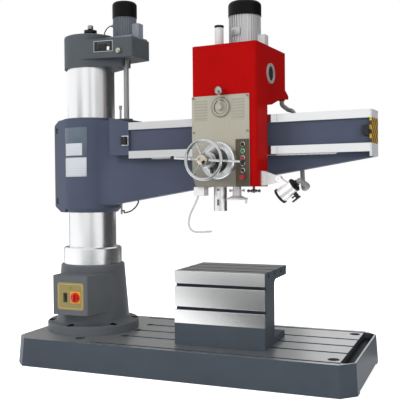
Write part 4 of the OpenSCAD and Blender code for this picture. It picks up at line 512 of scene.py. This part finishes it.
class DRILL_OT_stage(bpy.types.Operator):
    """Camera at the photograph's view, soft lamps, pale floor and white surroundings"""
    bl_idname = "drill.stage"
    bl_label = "Stage"

    def execute(self, context):
        scene = context.scene
        scene.view_settings.view_transform = "Standard"
        self.camera(scene)
        lamps = (("key_lamp", (-2.6, -4.6, 4.2), 3.0, 222), ("fill_lamp", (4.5, -4.4, 2.2), 3.0, 112),
                 ("top_lamp", (0.8, 0.6, 6.0), 4.0, 110), ("back_lamp", (0.0, 5.0, 3.0), 4.0, 100))
        for name, where, size, power in lamps:
            lamp = bpy.data.lights.new(name, "AREA")
            lamp.size, lamp.energy = size, power
            holder = bpy.data.objects.new(name, lamp)
            holder.location = where
            holder.visible_glossy = False
            holder.rotation_euler = (LAMPS_AIM - Vector(where)).to_track_quat("-Z", "Y").to_euler()
            scene.collection.objects.link(holder)
        corners = level((-FLOOR_REACH, -FLOOR_REACH), (FLOOR_REACH, FLOOR_REACH), FLOOR_Z)
        self.card(scene, "floor", corners, self.pale_floor())
        self.surround(scene)
        self.flags(scene)
        return {"FINISHED"}

    def camera(self, scene):
        """Camera looking along +Y before its yaw, pitch and roll."""
        data = bpy.data.cameras.new("camera")
        data.sensor_width, data.lens, data.clip_end = 36.0, scene.drill_sizes.lens, 100.0
        yaw, pitch, roll = (math.radians(d) for d in CAMERA_TURN)
        tipped = Matrix.Rotation(math.pi / 2 + pitch, 4, "X") @ Matrix.Rotation(roll, 4, "Z")
        camera = bpy.data.objects.new("camera", data)
        camera.matrix_world = Matrix.Translation(CAMERA) @ Matrix.Rotation(yaw, 4, "Z") @ tipped
        scene.collection.objects.link(camera)
        scene.camera = camera

    def card(self, scene, name, corners, finish):
        """Flat four-cornered piece of the stage."""
        mesh = bpy.data.meshes.new(name)
        mesh.from_pydata(corners, [], [(0, 1, 2, 3)])
        mesh.materials.append(finish.owner)
        holder = bpy.data.objects.new(name, mesh)
        scene.collection.objects.link(holder)
        return holder

    def flags(self, scene):
        """Studio flags which only reflections see, for the dark edges of round steel and the fall of light
        over flat faces: in one grey, or from one to another as x - 0.68 y runs over a span."""
        near_floor = 0.004
        cards = (("right", (0.05,), upright((3.2, -0.6), (2.4, 5.5), -0.2, 4.2)),
                 ("left", (0.12, 0.42, -8, -5), upright((-6.0, 3.5), (0.2, 6.0), 0.0, 2.5)),
                 ("floor", (1.5, 0.0, 1.5, 2.2), level((-4.0, -6.5), (4.0, -1.2), near_floor)),
                 ("front", (0.33,), upright((-3.8, -4.5), (-1.1, -4.5), 1.1, 2.5)),
                 ("near", (0.52,), upright((1.9, -5.6), (3.3, -5.6), 0.75, 3.2)),
                 ("high", (0.05,), upright((-4.0, 4.2), (2.4, 5.5), 2.2, 4.6)),
                 ("low", (0.05,), upright((-4.0, 4.2), (2.4, 5.5), -0.2, 0.9)),
                 ("side", (0.6,), level((1.7, 0.6), (4.0, 5.0), near_floor)),
                 ("way", (0.9,), upright((1.478, -0.54), (1.497, -0.334), 1.42, 1.74)),
                 ("head", (0.75,), upright((0.85, -0.8), (0.85, -0.05), 1.72, 2.3)))
        for name, (grey, *graded), corners in cards:
            nodes = Nodes(bpy.data.materials.new(name + "_flag_cloth"))
            lean = nodes.vector("DOT_PRODUCT", nodes.add("NewGeometry").outputs["Position"], CARD_LEAN)
            far, *spread = graded or (grey, 0, 1)
            glow = nodes.add("Emission", (nodes.span(lean, *spread, grey, far), "Strength"))
            nodes.add("OutputMaterial", (glow, "Surface"))
            holder = self.card(scene, name + "_flag", corners, nodes)
            holder.visible_camera = holder.visible_diffuse = False
            holder.visible_shadow = holder.visible_transmission = False

    def pale_floor(self):
        """Matt white sweep that takes the shadow; camera rays and reflections get more light from it."""
        nodes = Nodes(bpy.data.materials.new("matt_white_sweep"))
        matt = nodes.add("BsdfDiffuse", ((0.86, 0.86, 0.86, 1), "Color"))
        path = nodes.add("LightPath").outputs
        seen = nodes.calc("MULTIPLY_ADD", path["Is Glossy Ray"], 1.3, path["Is Camera Ray"])
        lift = nodes.add("Emission", (seen, "Strength"), ((0.62, 0.62, 0.62, 1), "Color"))
        both = nodes.add("AddShader", (matt, 0), (lift, 1))
        nodes.add("OutputMaterial", (both, "Surface"))
        return nodes

    def surround(self, scene):
        """White to the camera and to reflections, and a plain half light on the object."""
        scene.world = bpy.data.worlds.new("studio")
        nodes = Nodes(scene.world)
        white = ((1, 1, 1, 1), "Color")
        path = nodes.add("LightPath").outputs
        seen = nodes.calc("MAXIMUM", path["Is Camera Ray"], path["Is Transmission Ray"])
        strength = nodes.span(path["Is Glossy Ray"], 0, 1, 0.5, 1.25)
        plain = nodes.add("Background", white, (strength, "Strength"))
        clear = nodes.add("Background", white, (1.0, "Strength"))
        both = nodes.add("MixShader", (seen, 0), (plain, 1), (clear, 2))
        nodes.add("OutputWorld", (both, "Surface"))


class DRILL_OT_castings(bpy.types.Operator):
    """Enamel and planed faces of the base, pedestal, table, column cap and arm"""
    bl_idname = "drill.castings"
    bl_label = "Castings"

    def execute(self, context):
        c = context.scene.drill_colours
        show(machined("planed_deck_in_slate_enamel", self.deck_bare, c.iron, c.face, c.slate,
                      (0.5, 0.004, 0.004), DECK_PIT_SHADE), "base_plate")
        # The table's top is the deck's planed iron at 0.51 of its brightness: painted shade.
        show(machined("planed_table_in_slate_enamel", self.table_bare, shade(c.iron, 0.51), c.face, c.slate,
                      (0.4, 0.003, 0.003), TABLE_PIT_SHADE), "work_table")
        # The pedestal's slate is lighter as painted light, and its bolt wells are near black as painted
        # shade.
        show(recoated(enamel("lightened_slate_with_painted_well_shade", c.foot), self.well_shade, "#0c0c0c"), "pedestal")
        show(enamel("blue_grey_enamel_on_cast_iron", c.arm), "arm_casting")
        show(enamel("dark_grey_enamel", c.dark), "column_cap")
        show(enamel("motor_grey_enamel", c.motor), "lift_motor")
        show(moulded("black_oiled_fittings", "#171718", 0.4), "arm_stops")
        show(parted("black_cover_with_bright_plug", lambda mat: mat.layer(PLUG_FOOT),
                    ("#121213", "#1d1d1e"), "#8f9090", 0.02, 0.0001, metal=(0.0, 1.0),
                    roughness=0.35, specular_ior_level=0.2), "slip_ring_cover")
        return {"FINISHED"}

    def deck_bare(self, mat):
        """Planed where the deck faces up."""
        return mat.every(mat.layer(*DECK), mat.facing(UP))

    def table_bare(self, mat):
        """Planed where the table's top faces up, or its front faces the operator above the painted foot."""
        top = mat.every(mat.layer(*TABLE_TOP), mat.facing(UP))
        front = mat.picked((None, -0.33, TABLE_FOOT), (None, -0.322, TABLE_TOP[1]))
        return mat.calc("MAXIMUM", top, mat.every(front, mat.facing(OUT)))

    def well_shade(self, mat):
        """Bolt wells of the pedestal's flange, painted near black as painted shade: within reach of one of 6
        axes on a circle. The angle from the nearest axis is a triangle wave of 60 degrees over the turn."""
        circle, reach, first = 0.308, 0.0265, math.radians(28)
        radius, angle = mat.polar(mat.parts(turn=first))
        aside = mat.calc("MULTIPLY", radius, mat.calc("PINGPONG", angle, math.pi / 6))
        gap = mat.add("CombineXYZ", (mat.calc("SUBTRACT", radius, circle), "X"), (aside, "Y"))
        return mat.every(mat.under(mat.vector("LENGTH", gap), reach), mat.layer(0.19, 0.30))


class DRILL_OT_metalwork(bpy.types.Operator):
    """Ground, turned and polished steel, bronze and bolts"""
    bl_idname = "drill.metalwork"
    bl_label = "Metalwork"

    def execute(self, context):
        c = context.scene.drill_colours
        lathe, fine = (0.2, 0.2, 0.003), (0.02, 0.02, 0.003)
        show(ground("ground_column_steel", c.steel, (0.6, 0.6, 0.004), 0.27, vary=0.05),
             "outer_column", "column_ring")
        show(ground("ground_way_steel", c.steel, (0.5, 0.004, 0.004), 0.32, SWING, vary=0.5), "arm_ways")
        show(ground("bored_quill_steel", shade(c.steel, 1.02), lathe, 0.3), "quill", "spindle", "quill_rack")
        show(ground("turned_steel", c.steel, lathe, 0.22), "inner_column", "traverse_rack", "column_bearings",
             "spindle_bearings", "screw_bearing", "lift_gear", "lift_pinion", "main_motor_shaft", "layshaft",
             "drive_gear", "way_keepers")
        show(ground("black_oxide_bolts", "#4a4b4d", 0.01, 0.4), "clamp_bolts")
        show(ground("drawn_trip_rod", "#8f9092", (0.01, 0.01, 0.1), 0.4, metal=0.6), "trip_rod")
        # Black oxide bolts in the pedestal's wells, darkened near black as painted shade of the wells.
        show(moulded("black_bolts_with_painted_well_shade", "#0b0b0c", 0.5), "base_bolts")
        show(ground("oiled_bronze", "#75614a", fine, 0.3), "lift_nut")
        self.screw_thread(ground("rolled_screw_steel", shade(c.steel, 0.6), fine, 0.36))
        return {"FINISHED"}

    def screw_thread(self, finish):
        """Lift screw, plain above its right-hand thread for the bearing, collar and gear. In the thread
        r = crest - depth + depth * clip(0.5 + 1.2 cos(full turn * z / lead - a), 0, 1)."""
        crest, depth, lead = 20, 3, 10
        foot = (crest - depth, 1350)
        head = ((crest, 2190), (crest, 2218.4), (30, 2218.4), (30, 2228.4), (16, 2228.4), (16, 2260.4))
        z = np.arange(1352, 2186, lead / 10)[:, None]
        a = round_steps(36)[0, :, 0]
        r = crest - depth + depth * np.clip(0.5 + 1.2 * np.cos(FULL_TURN * z / lead - a), 0, 1)
        r = np.vstack([foot[0] + 0 * a, r, *(q[0] + 0 * a for q in head)])
        z = np.vstack([foot[1] + 0 * a, z + 0 * a, *(q[1] + 0 * a for q in head)])
        rings = np.stack([SCREW_X + r * np.cos(a), r * np.sin(a), z], -1)
        skin = Skin().loft(rings)
        skin.make("lift_screw_thread", "lift_screw", "bright_steel", finish, replaces="lift_screw")


class DRILL_OT_head(bpy.types.Operator):
    """Red head, its lacquered panel, motors, guards and sight glass"""
    bl_idname = "drill.head"
    bl_label = "Head"

    def execute(self, context):
        c = context.scene.drill_colours
        red = enamel("signal_red_enamel", c.red, 0.42, gloss=0.01)
        show(recoated(red, lambda mat: mat.layer(high=HEAD_FLOOR), "#d8d9da", metal=True),
             "head_casing", "head_cover")
        # The panel's lower part gets a painted shadow of the handwheel and feed drum.
        show(self.panel_lacquer("panel_lacquer_with_painted_shadow", c.panel, 0.5), "front_panel")
        show(self.panel_lacquer("olive_button_plate", c.olive), "button_plate")
        show(ground("sand_cast_aluminium", "#dcdddd", 0.006, 0.42, metal=0.5),
             "coolant_block", "lamp_bracket")
        show(parted("cast_fins_with_grey_box", self.motor_box, ("#b9babb", "#c5c5c6"), "#b6b9ba",
                    0.006, 0.00004, 3.0, metal=(0.45, 0.0), roughness=0.42), "main_motor")
        show(self.cowl("pressed_black_cowl", MAIN_MOTOR, COWL_TOPS[0]), "main_motor_cowl")
        show(self.cowl("pressed_black_lift_cowl", LIFT_MOTOR, COWL_TOPS[1]), "lift_motor_cowl")
        show(parted("white_guard_with_black_cap", lambda mat: mat.layer(GUARD_CAP),
                    ("#bebfbf", "#cecfcf"), "#191919", 0.05, 0.0001,
                    roughness=0.35, specular_ior_level=0.1), "spindle_guard")
        show(parted("oil_sight_glass_in_bright_ring", self.sight_lens, ("#bdb9b8",), "#20262a",
                    0.01, 0.00003, metal=(0.5, 0.0), rough=(0.36, 0.05),
                    coat_weight=0.3, coat_roughness=0.05), "sight_glass")
        self.panel_trim(c, context.scene.drill_sizes.bezel / MM)
        return {"FINISHED"}

    def panel_lacquer(self, name, colour, shadow_tone=1.0):
        """Lacquered sheet with upright streaks, darker towards its foot down to the given share of its
        colour: painted shadow of the handwheel and feed drum.
        """
        mat = Finish(name, specular_ior_level=0.3)
        streak = mat.grain((0.006, 0.006, 0.3))
        clean = mat.mixed(streak, shade(colour, 0.92), shade(colour, 1.06))
        # Painted shadow: full below 1.29 m, gone above 1.53 m.
        wheel_shadow = mat.span(mat.parts()["Z"], 1.29, 1.53, 1.0, 0.0)
        mat.plug(base_color=mat.mixed(wheel_shadow, clean, shade(colour, shadow_tone)),
                 roughness=mat.span(streak, 0.3, 0.7, 0.5, 0.4))
        return mat.relief(streak, 0.00005, 0.003)

    def cowl(self, name, axis, top):
        """Pressed fan cowl in black enamel, with rings of air slots on its top, parted by spokes; the slots
        are painted darker as their shade.
        """
        pitch, reach, spokes = 0.009, 0.08, 6.0
        mat = Finish(name, roughness=0.42, specular_ior_level=0.08)
        part = mat.parts((*on_arm((*axis, 0))[:2], 0))
        radius, angle = mat.polar(part)
        spoke = mat.calc("SINE", mat.calc("MULTIPLY", angle, spokes))
        slots = mat.every(mat.over(mat.repeat(radius, pitch), 0.5), mat.over(spoke, -0.75),
                          mat.over(part["Z"], top), mat.under(radius, reach))
        # Air slots painted darker than the cowl: painted shade of the openings.
        mat.plug(base_color=mat.mixed(slots, "#0d0d0e", "#020202"))
        return mat.relief(mat.calc("SUBTRACT", 1.0, slots), 0.001, 0.003)

    def motor_box(self, mat):
        """Terminal box beside the main motor's bare fins: beyond 106 mm to the right of the axis."""
        x = on_arm((MAIN_MOTOR[0] + 106, MAIN_MOTOR[1], 0))[0]
        return mat.picked((x, None, None), (None, None, MOTOR_BOX_TOP))

    def sight_lens(self, mat):
        """Dark glass in the bright ring of the oil sight: near its middle."""
        return mat.under(mat.vector("LENGTH", mat.moved(on_arm(SIGHT))), SIGHT_LENS)

    def panel_trim(self, c, bezel):
        """Bare ruled plates beside the dial, and rings bezel wide round the buttons."""
        trim = Skin()
        for x0, x1 in ((1091, 1180), (1346, 1432)):
            trim.plate(((x0 + x1) / 2, PANEL_FACE, 1725), x1 - x0, 128, FRONT, 1.2, r=3)
        sheet = ruled("bare_ruled_plate", shade(c.panel, 0.94), 0.018, 0.72)
        trim.make("panel_tables", "head", "panel_sheet", sheet)
        chrome = ground("bright_plated_steel", "#d8d9db", 0.004, 0.14)
        bore = 11.6
        rim = [(bore, 0), (bore + bezel, 0), (bore + bezel, 2), (13.4, 3.4), (12.2, 3.4), (bore, 2.6)]
        rings = Skin()
        for z in (1507, 1466, 1424, 1389, 1348):
            rings.turned(rim, (1422.5, -415, z), OUT)
        rings.make("button_rings", "head", "bright_steel", chrome)


class DRILL_OT_controls(bpy.types.Operator):
    """Feed drum, handwheels, levers, dial, push buttons and isolator knob"""
    bl_idname = "drill.controls"
    bl_label = "Controls"

    def execute(self, context):
        show(ground("satin_alloy_wheel", "#cdcfd0", 0.02, 0.4, metal=0.25), "fine_feed_wheel")
        show(ground("dark_plated_lever", "#6a6b6c", 0.02, 0.3), "shift_lever")
        show(self.hub(), "feed_shaft")
        show(parted("graduated_drum", self.drum_marks, ("#e2e3e4",), "#2c2d2e", 0.01, 0.00003, metallic=0.9,
                    roughness=0.24), "feed_dial")
        show(self.dial(context.scene.drill_colours.panel), "speed_lever")
        show(parted("chromed_wheel_with_bronze_cap", self.wheel_cap, ("#b6b8ba",), "#b8b0a2", 0.012, 0.00002,
                    metallic=1.0, roughness=0.2), "traverse_wheel")
        show(moulded("black_phenolic", "#161616", 0.22), "lever_balls", "button_1", "button_4", "button_5")
        show(moulded("green_push_button", "#1c6b42", 0.3), "button_2")
        show(moulded("red_push_button", "#942b34", 0.3), "button_3", "stop_button")
        show(moulded("red_isolator_knob", "#b8211c", 0.3), "isolator_knob")
        return {"FINISHED"}

    def drum_marks(self, mat):
        """60 engraved graduations near the feed drum's rim."""
        return mat.ticks(*mat.polar(mat.parts(on_base(FEED_AXIS), SWING), "Z"), 60, 0.22, 0.092, 0.114)

    def dial(self, panel):
        """Dial in the panel's lacquer with 24 ticks between two printed rings; the ball above is plated."""
        mat = Finish("printed_dial_with_plated_ball", roughness=0.32)
        part = mat.parts(on_base(DIAL_AXIS), SWING)
        radius, angle = mat.polar(part, "Z")
        mark = mat.ticks(radius, angle, 24, 0.2, 0.047, 0.056)
        for ring in (0.0425, 0.059):
            mark = mat.calc("MAXIMUM", mark, mat.calc("COMPARE", radius, ring, 0.0022))
        ball = mat.over(part["Z"], DIAL_BALL)
        face = mat.mixed(mark, shade(panel), shade(panel, 0.3))
        mat.plug(base_color=mat.mixed(ball, face, "#a8a3a0"), metallic=ball)
        return mat.relief(mark, 0.0001, 0.002)

    def hub(self):
        """Feed hub turned dark, with ring grooves 14 mm apart painted darker as their shade; its levers,
        before the cone, are bright.
        """
        mat = Finish("dark_turned_hub_with_bright_levers", metallic=0.85, roughness=0.26)
        depth = mat.parts(turn=SWING)["Y"]
        groove = mat.under(mat.repeat(depth, 0.014), 0.2)
        # Grooves near black: painted shade.
        dark = mat.mixed(groove, "#4b4b4a", "#1a1a1a")
        mat.plug(base_color=mat.mixed(mat.over(depth, HUB_CONE), "#c9cacb", dark))
        return mat.relief(groove, 0.0004, 0.002)

    def wheel_cap(self, mat):
        """Domed hub cap in front of the handwheel's spokes."""
        return mat.under(mat.parts(turn=SWING)["Y"], WHEEL_SPOKES)


class DRILL_OT_switch_box(bpy.types.Operator):
    """Main switch plate on the pedestal with its border, pilot lamp, rocker and knob seat"""
    bl_idname = "drill.switch_box"
    bl_label = "Switch box"

    def execute(self, context):
        ochre = moulded("ochre_lacquered_plate", context.scene.drill_colours.ochre, 0.38)
        orange = moulded("orange_switch_seat", "#cd8d27", 0.35)
        black = moulded("black_rocker", "#1b1a18", 0.3)
        border = moulded("pale_plate_border", "#b0a474", 0.38)
        green = moulded("green_pilot_lens", "#5f9a3a", 0.15)
        thick = 2.6
        sheet = Skin().holed((26, SWITCH_FACE + thick, 480), 217, 196, FRONT, thick, 30, (42, -6),
                             r=18, edge=1.0)
        sheet.make("switch_plate", "base", "panel_sheet", ochre, place=on_base)
        seat = Skin()
        seat.holed((68, SWITCH_FACE, 474), 84, 84, FRONT, 3, 28, r=8)
        seat.plate((-16, SWITCH_FACE, 470), 30, 66, FRONT, 3, r=3, slot=1)
        seat.plate((-16, SWITCH_FACE - 3, 478), 18, 34, FRONT, 6, r=2, edge=2.0, slot=1)
        lens = [(9, 0), (9, 3), (7.5, 4), (7.5, 3.4), (7, 6), (5, 8.5), (0, 9.5)]
        seat.turned(lens, (24, SWITCH_FACE, 540), OUT, slot=2, steps=24)
        seat.holed((26, SWITCH_FACE, 480), 196, 175, FRONT, 1.0, (94.5, 84),
                   r=14, edge=0.4, slot=3, corner=10.5)
        seat.make("switch_fittings", "base", "black_plastic", orange, black, green, border, place=on_base)
        rim = [(24, 0), (35, 0), (35, 5), (32, 8), (0, 8)]
        skirt = Skin().turned(rim, (68, SWITCH_FACE - 3.6, 474), OUT, steps=40)
        red = moulded("red_knob_skirt", "#b8211c", 0.3)
        skirt.make("knob_skirt", "isolator", "red_plastic", red, place=on_base)
        return {"FINISHED"}


class DRILL_OT_plates(bpy.types.Operator):
    """Bare plates on cap and sleeve, striped plate on the arm's end, frame of the limit switch, and screws"""
    bl_idname = "drill.plates"
    bl_label = "Plates and screws"

    def execute(self, context):
        s = context.scene.drill_sizes
        t = s.plate / MM
        silver = ground("etched_aluminium_plate", "#b2b4b4", (0.02, 0.02, 0.003), 0.4)
        dark = moulded("dark_plate_field", "#2b2f31", 0.35)
        pale = moulded("white_switch_frame", "#d6d7d8", 0.4)
        self.cap_plate(t, silver, dark, pale)
        sheet = ruled("ruled_paper_label", "#b9bdc4", 0.0125, 0.8)
        glaze = moulded("smoked_plate_field", "#4d5a66", 0.25)
        sleeve = Skin()
        self.curved(sleeve, (1478, 1688), (-27, 27), t, 2)
        self.curved(sleeve, (1484, 1572), (-24, 17), t + 0.5, 1)
        self.curved(sleeve, (1330, 1470), (-26, 26), t)
        self.curved(sleeve, (1337, 1463), (-24.5, 24.5), t + 0.5, 1)
        sleeve.make("sleeve_plates", "arm", "cast_aluminium", silver, sheet, glaze)
        show(self.stripes(), "arm_end_plate")
        stop = Skin().holed((422, -188.3, 1577), 56, 70, FRONT, 2, (22, 29), r=3, corner=0.4)
        stop.make("limit_switch_frame", "arm", "black_plastic", pale)
        shape = [(7, 0), (7, 6), (12, 8), (13, 14), (11, 20), (6, 22), (0, 22)]
        knob = Skin().turned(shape, (1065.2, -372, 1362), (-1, 0, 0))
        knob.make("side_knob", "head", "black_plastic", dark)
        label = self.curved(Skin(), (2210, 2262), (-34, 6), 1.0, radius=104.4, axis=MAIN_MOTOR)
        label.make("motor_plate", "head", "cast_aluminium", silver)
        self.screws(s.screw / MM)
        return {"FINISHED"}

    def cap_plate(self, t, silver, dark, pale):
        """Plate t thick on the cap's flat front, its dark field and switch blocks, and the knob beside it."""
        field = 0.6
        lean = np.array([math.cos(CAP_LEAN), math.sin(CAP_LEAN), 0])
        face = (lean, UP, (lean[1], -lean[0], 0))
        middle, out = np.array([224, -157.9, 2264]), np.array(face[2])
        cap = Skin()
        cap.plate(middle, 150, 80, face, t, r=4)
        cap.plate(middle + t * out, 141, 71, face, field, r=3, edge=0.2, slot=1)
        fittings = ((-57, 0, 13, 62, 3, 2), (59, 0, 12, 62, 3, 2),
                    (-4, -8, 66, 46, 9, 2), (40, -18, 20, 26, 5, 3))
        for u, v, w, h, thick, slot in fittings:
            place = middle + (t + field) * out + u * lean + (0, 0, v)
            cap.plate(place, w, h, face, thick, r=2, edge=1.0, slot=slot)
        dome = [(22, 0), (22, 5), (21, 12), (16, 18), (8, 22), (0, 23)]
        cap.turned(dome, (341, -136.8, 2226), out, slot=4)
        knob = ground("dull_knob", "#a9aaa0", 0.004, 0.2)
        black = moulded("black_switch_block", "#0e0f10", 0.3)
        cap.make("cap_plate", "column", "cast_aluminium", silver, dark, black, pale, knob)

    def curved(self, skin, heights, angles, t, slot=0, radius=215.2, axis=(0, 0)):
        """Plate t thick bent round an upright axis: P(a) = axis + (r sin a, -r cos a), angles in degrees."""
        steps, ease, lip = 17, 0.5, 0.8
        a = np.radians(np.linspace(*angles, steps))[:, None]
        r = radius + np.array([0, t - ease, t, t, t - ease, 0])
        low, high = heights
        z = np.broadcast_to([low, low, low + lip, high - lip, high, high], (steps, 6))
        return skin.loft(np.stack([axis[0] + r * np.sin(a), axis[1] - r * np.cos(a), z], -1), slot)

    def stripes(self):
        """Pale end plate with slanting bands on its middle, yellow and black, by fract((y + z) / pitch)."""
        mat = Finish("pale_plate_with_slanting_bands", roughness=0.42)
        part = mat.parts()
        band = mat.repeat(mat.calc("ADD", part["Y"], part["Z"]), 0.052)
        bands = mat.mixed(mat.over(band, 0.5), "#c29a2c", "#2a2a2a")
        cloud = mat.grain(0.01)
        pale = mat.mixed(cloud, "#b4b7ba", "#c9cbcd")
        mat.plug(base_color=mat.mixed(mat.layer(*BANDS), pale, bands))
        return mat.relief(cloud, 0.00008, 0.001)

    def screws(self, d):
        """Socket screws of panel and cover: turned heads of diameter d with chamfer and driver hole."""
        steel = ground("dull_plated_screw", "#8f8d84", 0.004, 0.4)
        head = d * np.array([(0.5, 0), (0.5, 0.42), (0.44, 0.5), (0.25, 0.5), (0.25, 0.2), (0, 0.2)])
        places = [((x, PANEL_FACE - 0.2, z), OUT) for x in (1084, 1452) for z in (1804, 1590)]
        places += [((x, y, 2133.2), UP) for x in (1085, 1489) for y in (-378, 78)]
        skin = Skin()
        for where, axis in places:
            skin.turned(head, where, axis, steps=18)
        skin.make("head_screws", "head", "bright_steel", steel)


class DRILL_OT_hoses(bpy.types.Operator):
    """Lamp conduit, clamp hose, motor lead and bent coolant pipe"""
    bl_idname = "drill.hoses"
    bl_label = "Hoses and pipes"

    def execute(self, context):
        sheath = moulded("grey_sheathed_conduit", "#7e807f", 0.45)
        rubber = moulded("black_rubber_hose", "#1a1a1b", 0.5)
        bend = ("lamp", on_arm((1700, -60, 1220)), on_arm((1700, -285, 1220)))
        route = self.conduit_route()
        self.hose(route, 15, "lamp_conduit_sheath", "head", sheath, "conduit_sheath", "lamp_conduit", bend)
        hang, end = np.array([447, -62, 1155.4]), np.array([270, 0, 1077])
        fall = ((0, 0, 0), (0, 0, -8), (0, 0, -16), (-26, 6, -48), (-74, 16, -78))
        rest = ((34, -24, -14), (16, 0, 0), (8, 0, 0), (0, 0, 0))
        loop = [hang + p for p in fall] + [end + p for p in rest]
        self.hose(smooth_path(loop), 5, "clamp_hose_rubber", "arm", rubber, "black_rubber", "clamp_hose")
        lead = ((146, -26, 2370.5), (146, -26, 2380), (148, -25, 2396), (162, -16, 2424), (178, -4, 2440),
                (190, 8, 2444), (196, 14, 2445))
        self.hose(smooth_path(lead), 4, "lift_motor_lead", "column", rubber, "black_rubber")
        gland = Skin()
        nut = [(11, 0), (11, 10), (8, 12), (8, 16), (0, 16)]
        gland.turned(nut, (197, 15, 2445), (-0.77, -0.64, 0), steps=6)
        gland.turned([(9, 0), (9, 6), (6, 9), (0, 9)], (146, -26, 2370.2), UP, steps=24)
        plated = ground("plated_gland", "#b9babb", 0.004, 0.3)
        gland.make("lift_motor_glands", "column", "bright_steel", plated)
        self.coolant_tube(moulded("pale_coolant_tube", "#b4b6b6", 0.3, pit=0.05))
        return {"FINISHED"}

    def conduit_route(self):
        """From its gland in the head, behind and under the arm, to the back of the lamp."""
        tail = LAMP_BACK - 31 * LAMP_AIM
        pivot, gland = np.array([1613, -300, 1294]), np.array([1475, 126, 1821])
        run = ((148, 96, -42), (114, 180, -58), (72, 260, -62), (42, 330, -44), (24, 372, 14), (10, 396, 130),
               (-8, 410, 290), (-52, 420, 440))
        rise = ((44, 0, -60), (6, 0, -30), (0, 0, -12), (0, 0, -6), (0, 0, 0))
        steps = [tail - k * 9 * LAMP_AIM for k in range(3)]
        steps += [pivot + p for p in run] + [gland + p for p in rise]
        return smooth_path(steps[::-1])

    def coolant_tube(self, finish):
        """Bent tube below the coolant block, in shares of its drop: first down, then a bow along the arm."""
        top, drop = np.array([1080, -353, 1192]), 232
        down = ((0, 0), (0, -0.02), (0, -0.04), (-0.05, -0.15), (-0.16, -0.36), (-0.25, -0.54),
                (-0.29, -0.72), (-0.28, -0.845), (-0.215, -0.95), (-0.095, -1), (0.05, -1),
                (0.225, -0.99), (0.415, -0.975))
        path = smooth_path(top + np.array([(drop * x, 0, drop * z) for x, z in down]))
        Skin().swept(path, 6).make("coolant_tube", "head", "white_tube", finish, replaces="coolant_pipe")

    def hose(self, path, radius, name, body, finish, slot, node=None, blend=None):
        """Round hose along its route, in place of its CAD node if it has one."""
        skin = Skin().swept(path, radius)
        piece = skin.make(name, body, slot, finish, replaces=node, blend=blend)


class DRILL_OT_lamp(bpy.types.Operator):
    """Work lamp with its pale shade, black rims and clip"""
    bl_idname = "drill.lamp"
    bl_label = "Work lamp"

    def execute(self, context):
        show(parted("spun_lamp_shade_with_black_rims", self.rims, ("#eeefef", "#f6f6f6"), "#161616",
                    0.03, 0.00008, roughness=0.34, metallic=0.5), "lamp_head")
        self.clip()
        return {"FINISHED"}

    def rims(self, mat):
        """Both ends of the shade's length."""
        along = mat.vector("DOT_PRODUCT", mat.moved(on_arm(LAMP_BACK)), tuple(on_arm(LAMP_AIM / MM)))
        return mat.calc("MAXIMUM", mat.under(along, SHADE_ENDS[0]), mat.over(along, SHADE_ENDS[1]))

    def clip(self):
        """Black spring clip under the shade: a bar out from its side, with a jaw along it."""
        along, out = LAMP_AIM, np.array([-LAMP_AIM[2], 0, LAMP_AIM[0]])
        root = LAMP_BACK + 22 * along
        face = (along, OUT, out)
        jaw = Skin()
        for off, shift, w, h, thick in ((38, 0, 22, 20, 34), (72, 14, 58, 22, 9), (52, 18, 30, 18, 7)):
            jaw.plate(root + off * out + shift * along, w, h, face, thick, edge=1.5)
        jaw.make("lamp_clip", "lamp", "black_plastic", moulded("black_spring_clip", "#1a1a1a", 0.4))


class DRILL_PT_finishes(bpy.types.Panel):
    """Lists the drill's colours, sizes and steps"""
    bl_idname = "DRILL_PT_finishes"
    bl_label = "Radial arm drill"
    bl_space_type = "VIEW_3D"
    bl_region_type = "UI"
    bl_category = "Drill"

    def draw(self, context):
        for group in (context.scene.drill_colours, context.scene.drill_sizes):
            for name in group.__annotations__:
                self.layout.prop(group, name)
        for step in STEPS:
            self.layout.operator(step.bl_idname)


STEPS = (DRILL_OT_stage, DRILL_OT_hoses, DRILL_OT_castings, DRILL_OT_metalwork, DRILL_OT_head,
         DRILL_OT_controls, DRILL_OT_switch_box, DRILL_OT_plates, DRILL_OT_lamp)
CLASSES = (DrillColours, DrillSizes, *STEPS, DRILL_PT_finishes)


def register():
    for cls in CLASSES:
        bpy.utils.register_class(cls)
    bpy.types.Scene.drill_colours = bpy.props.PointerProperty(type=DrillColours)
    bpy.types.Scene.drill_sizes = bpy.props.PointerProperty(type=DrillSizes)


def unregister():
    del bpy.types.Scene.drill_sizes
    del bpy.types.Scene.drill_colours
    for cls in reversed(CLASSES):
        bpy.utils.unregister_class(cls)


def main():
    register()
    ops = bpy.ops.drill
    for step in (ops.stage, ops.hoses, ops.castings, ops.metalwork, ops.head, ops.controls, ops.switch_box,
                 ops.plates, ops.lamp):
        if step() != {"FINISHED"}:
            raise RuntimeError("a step did not finish")


if __name__ == "__main__":
    main()
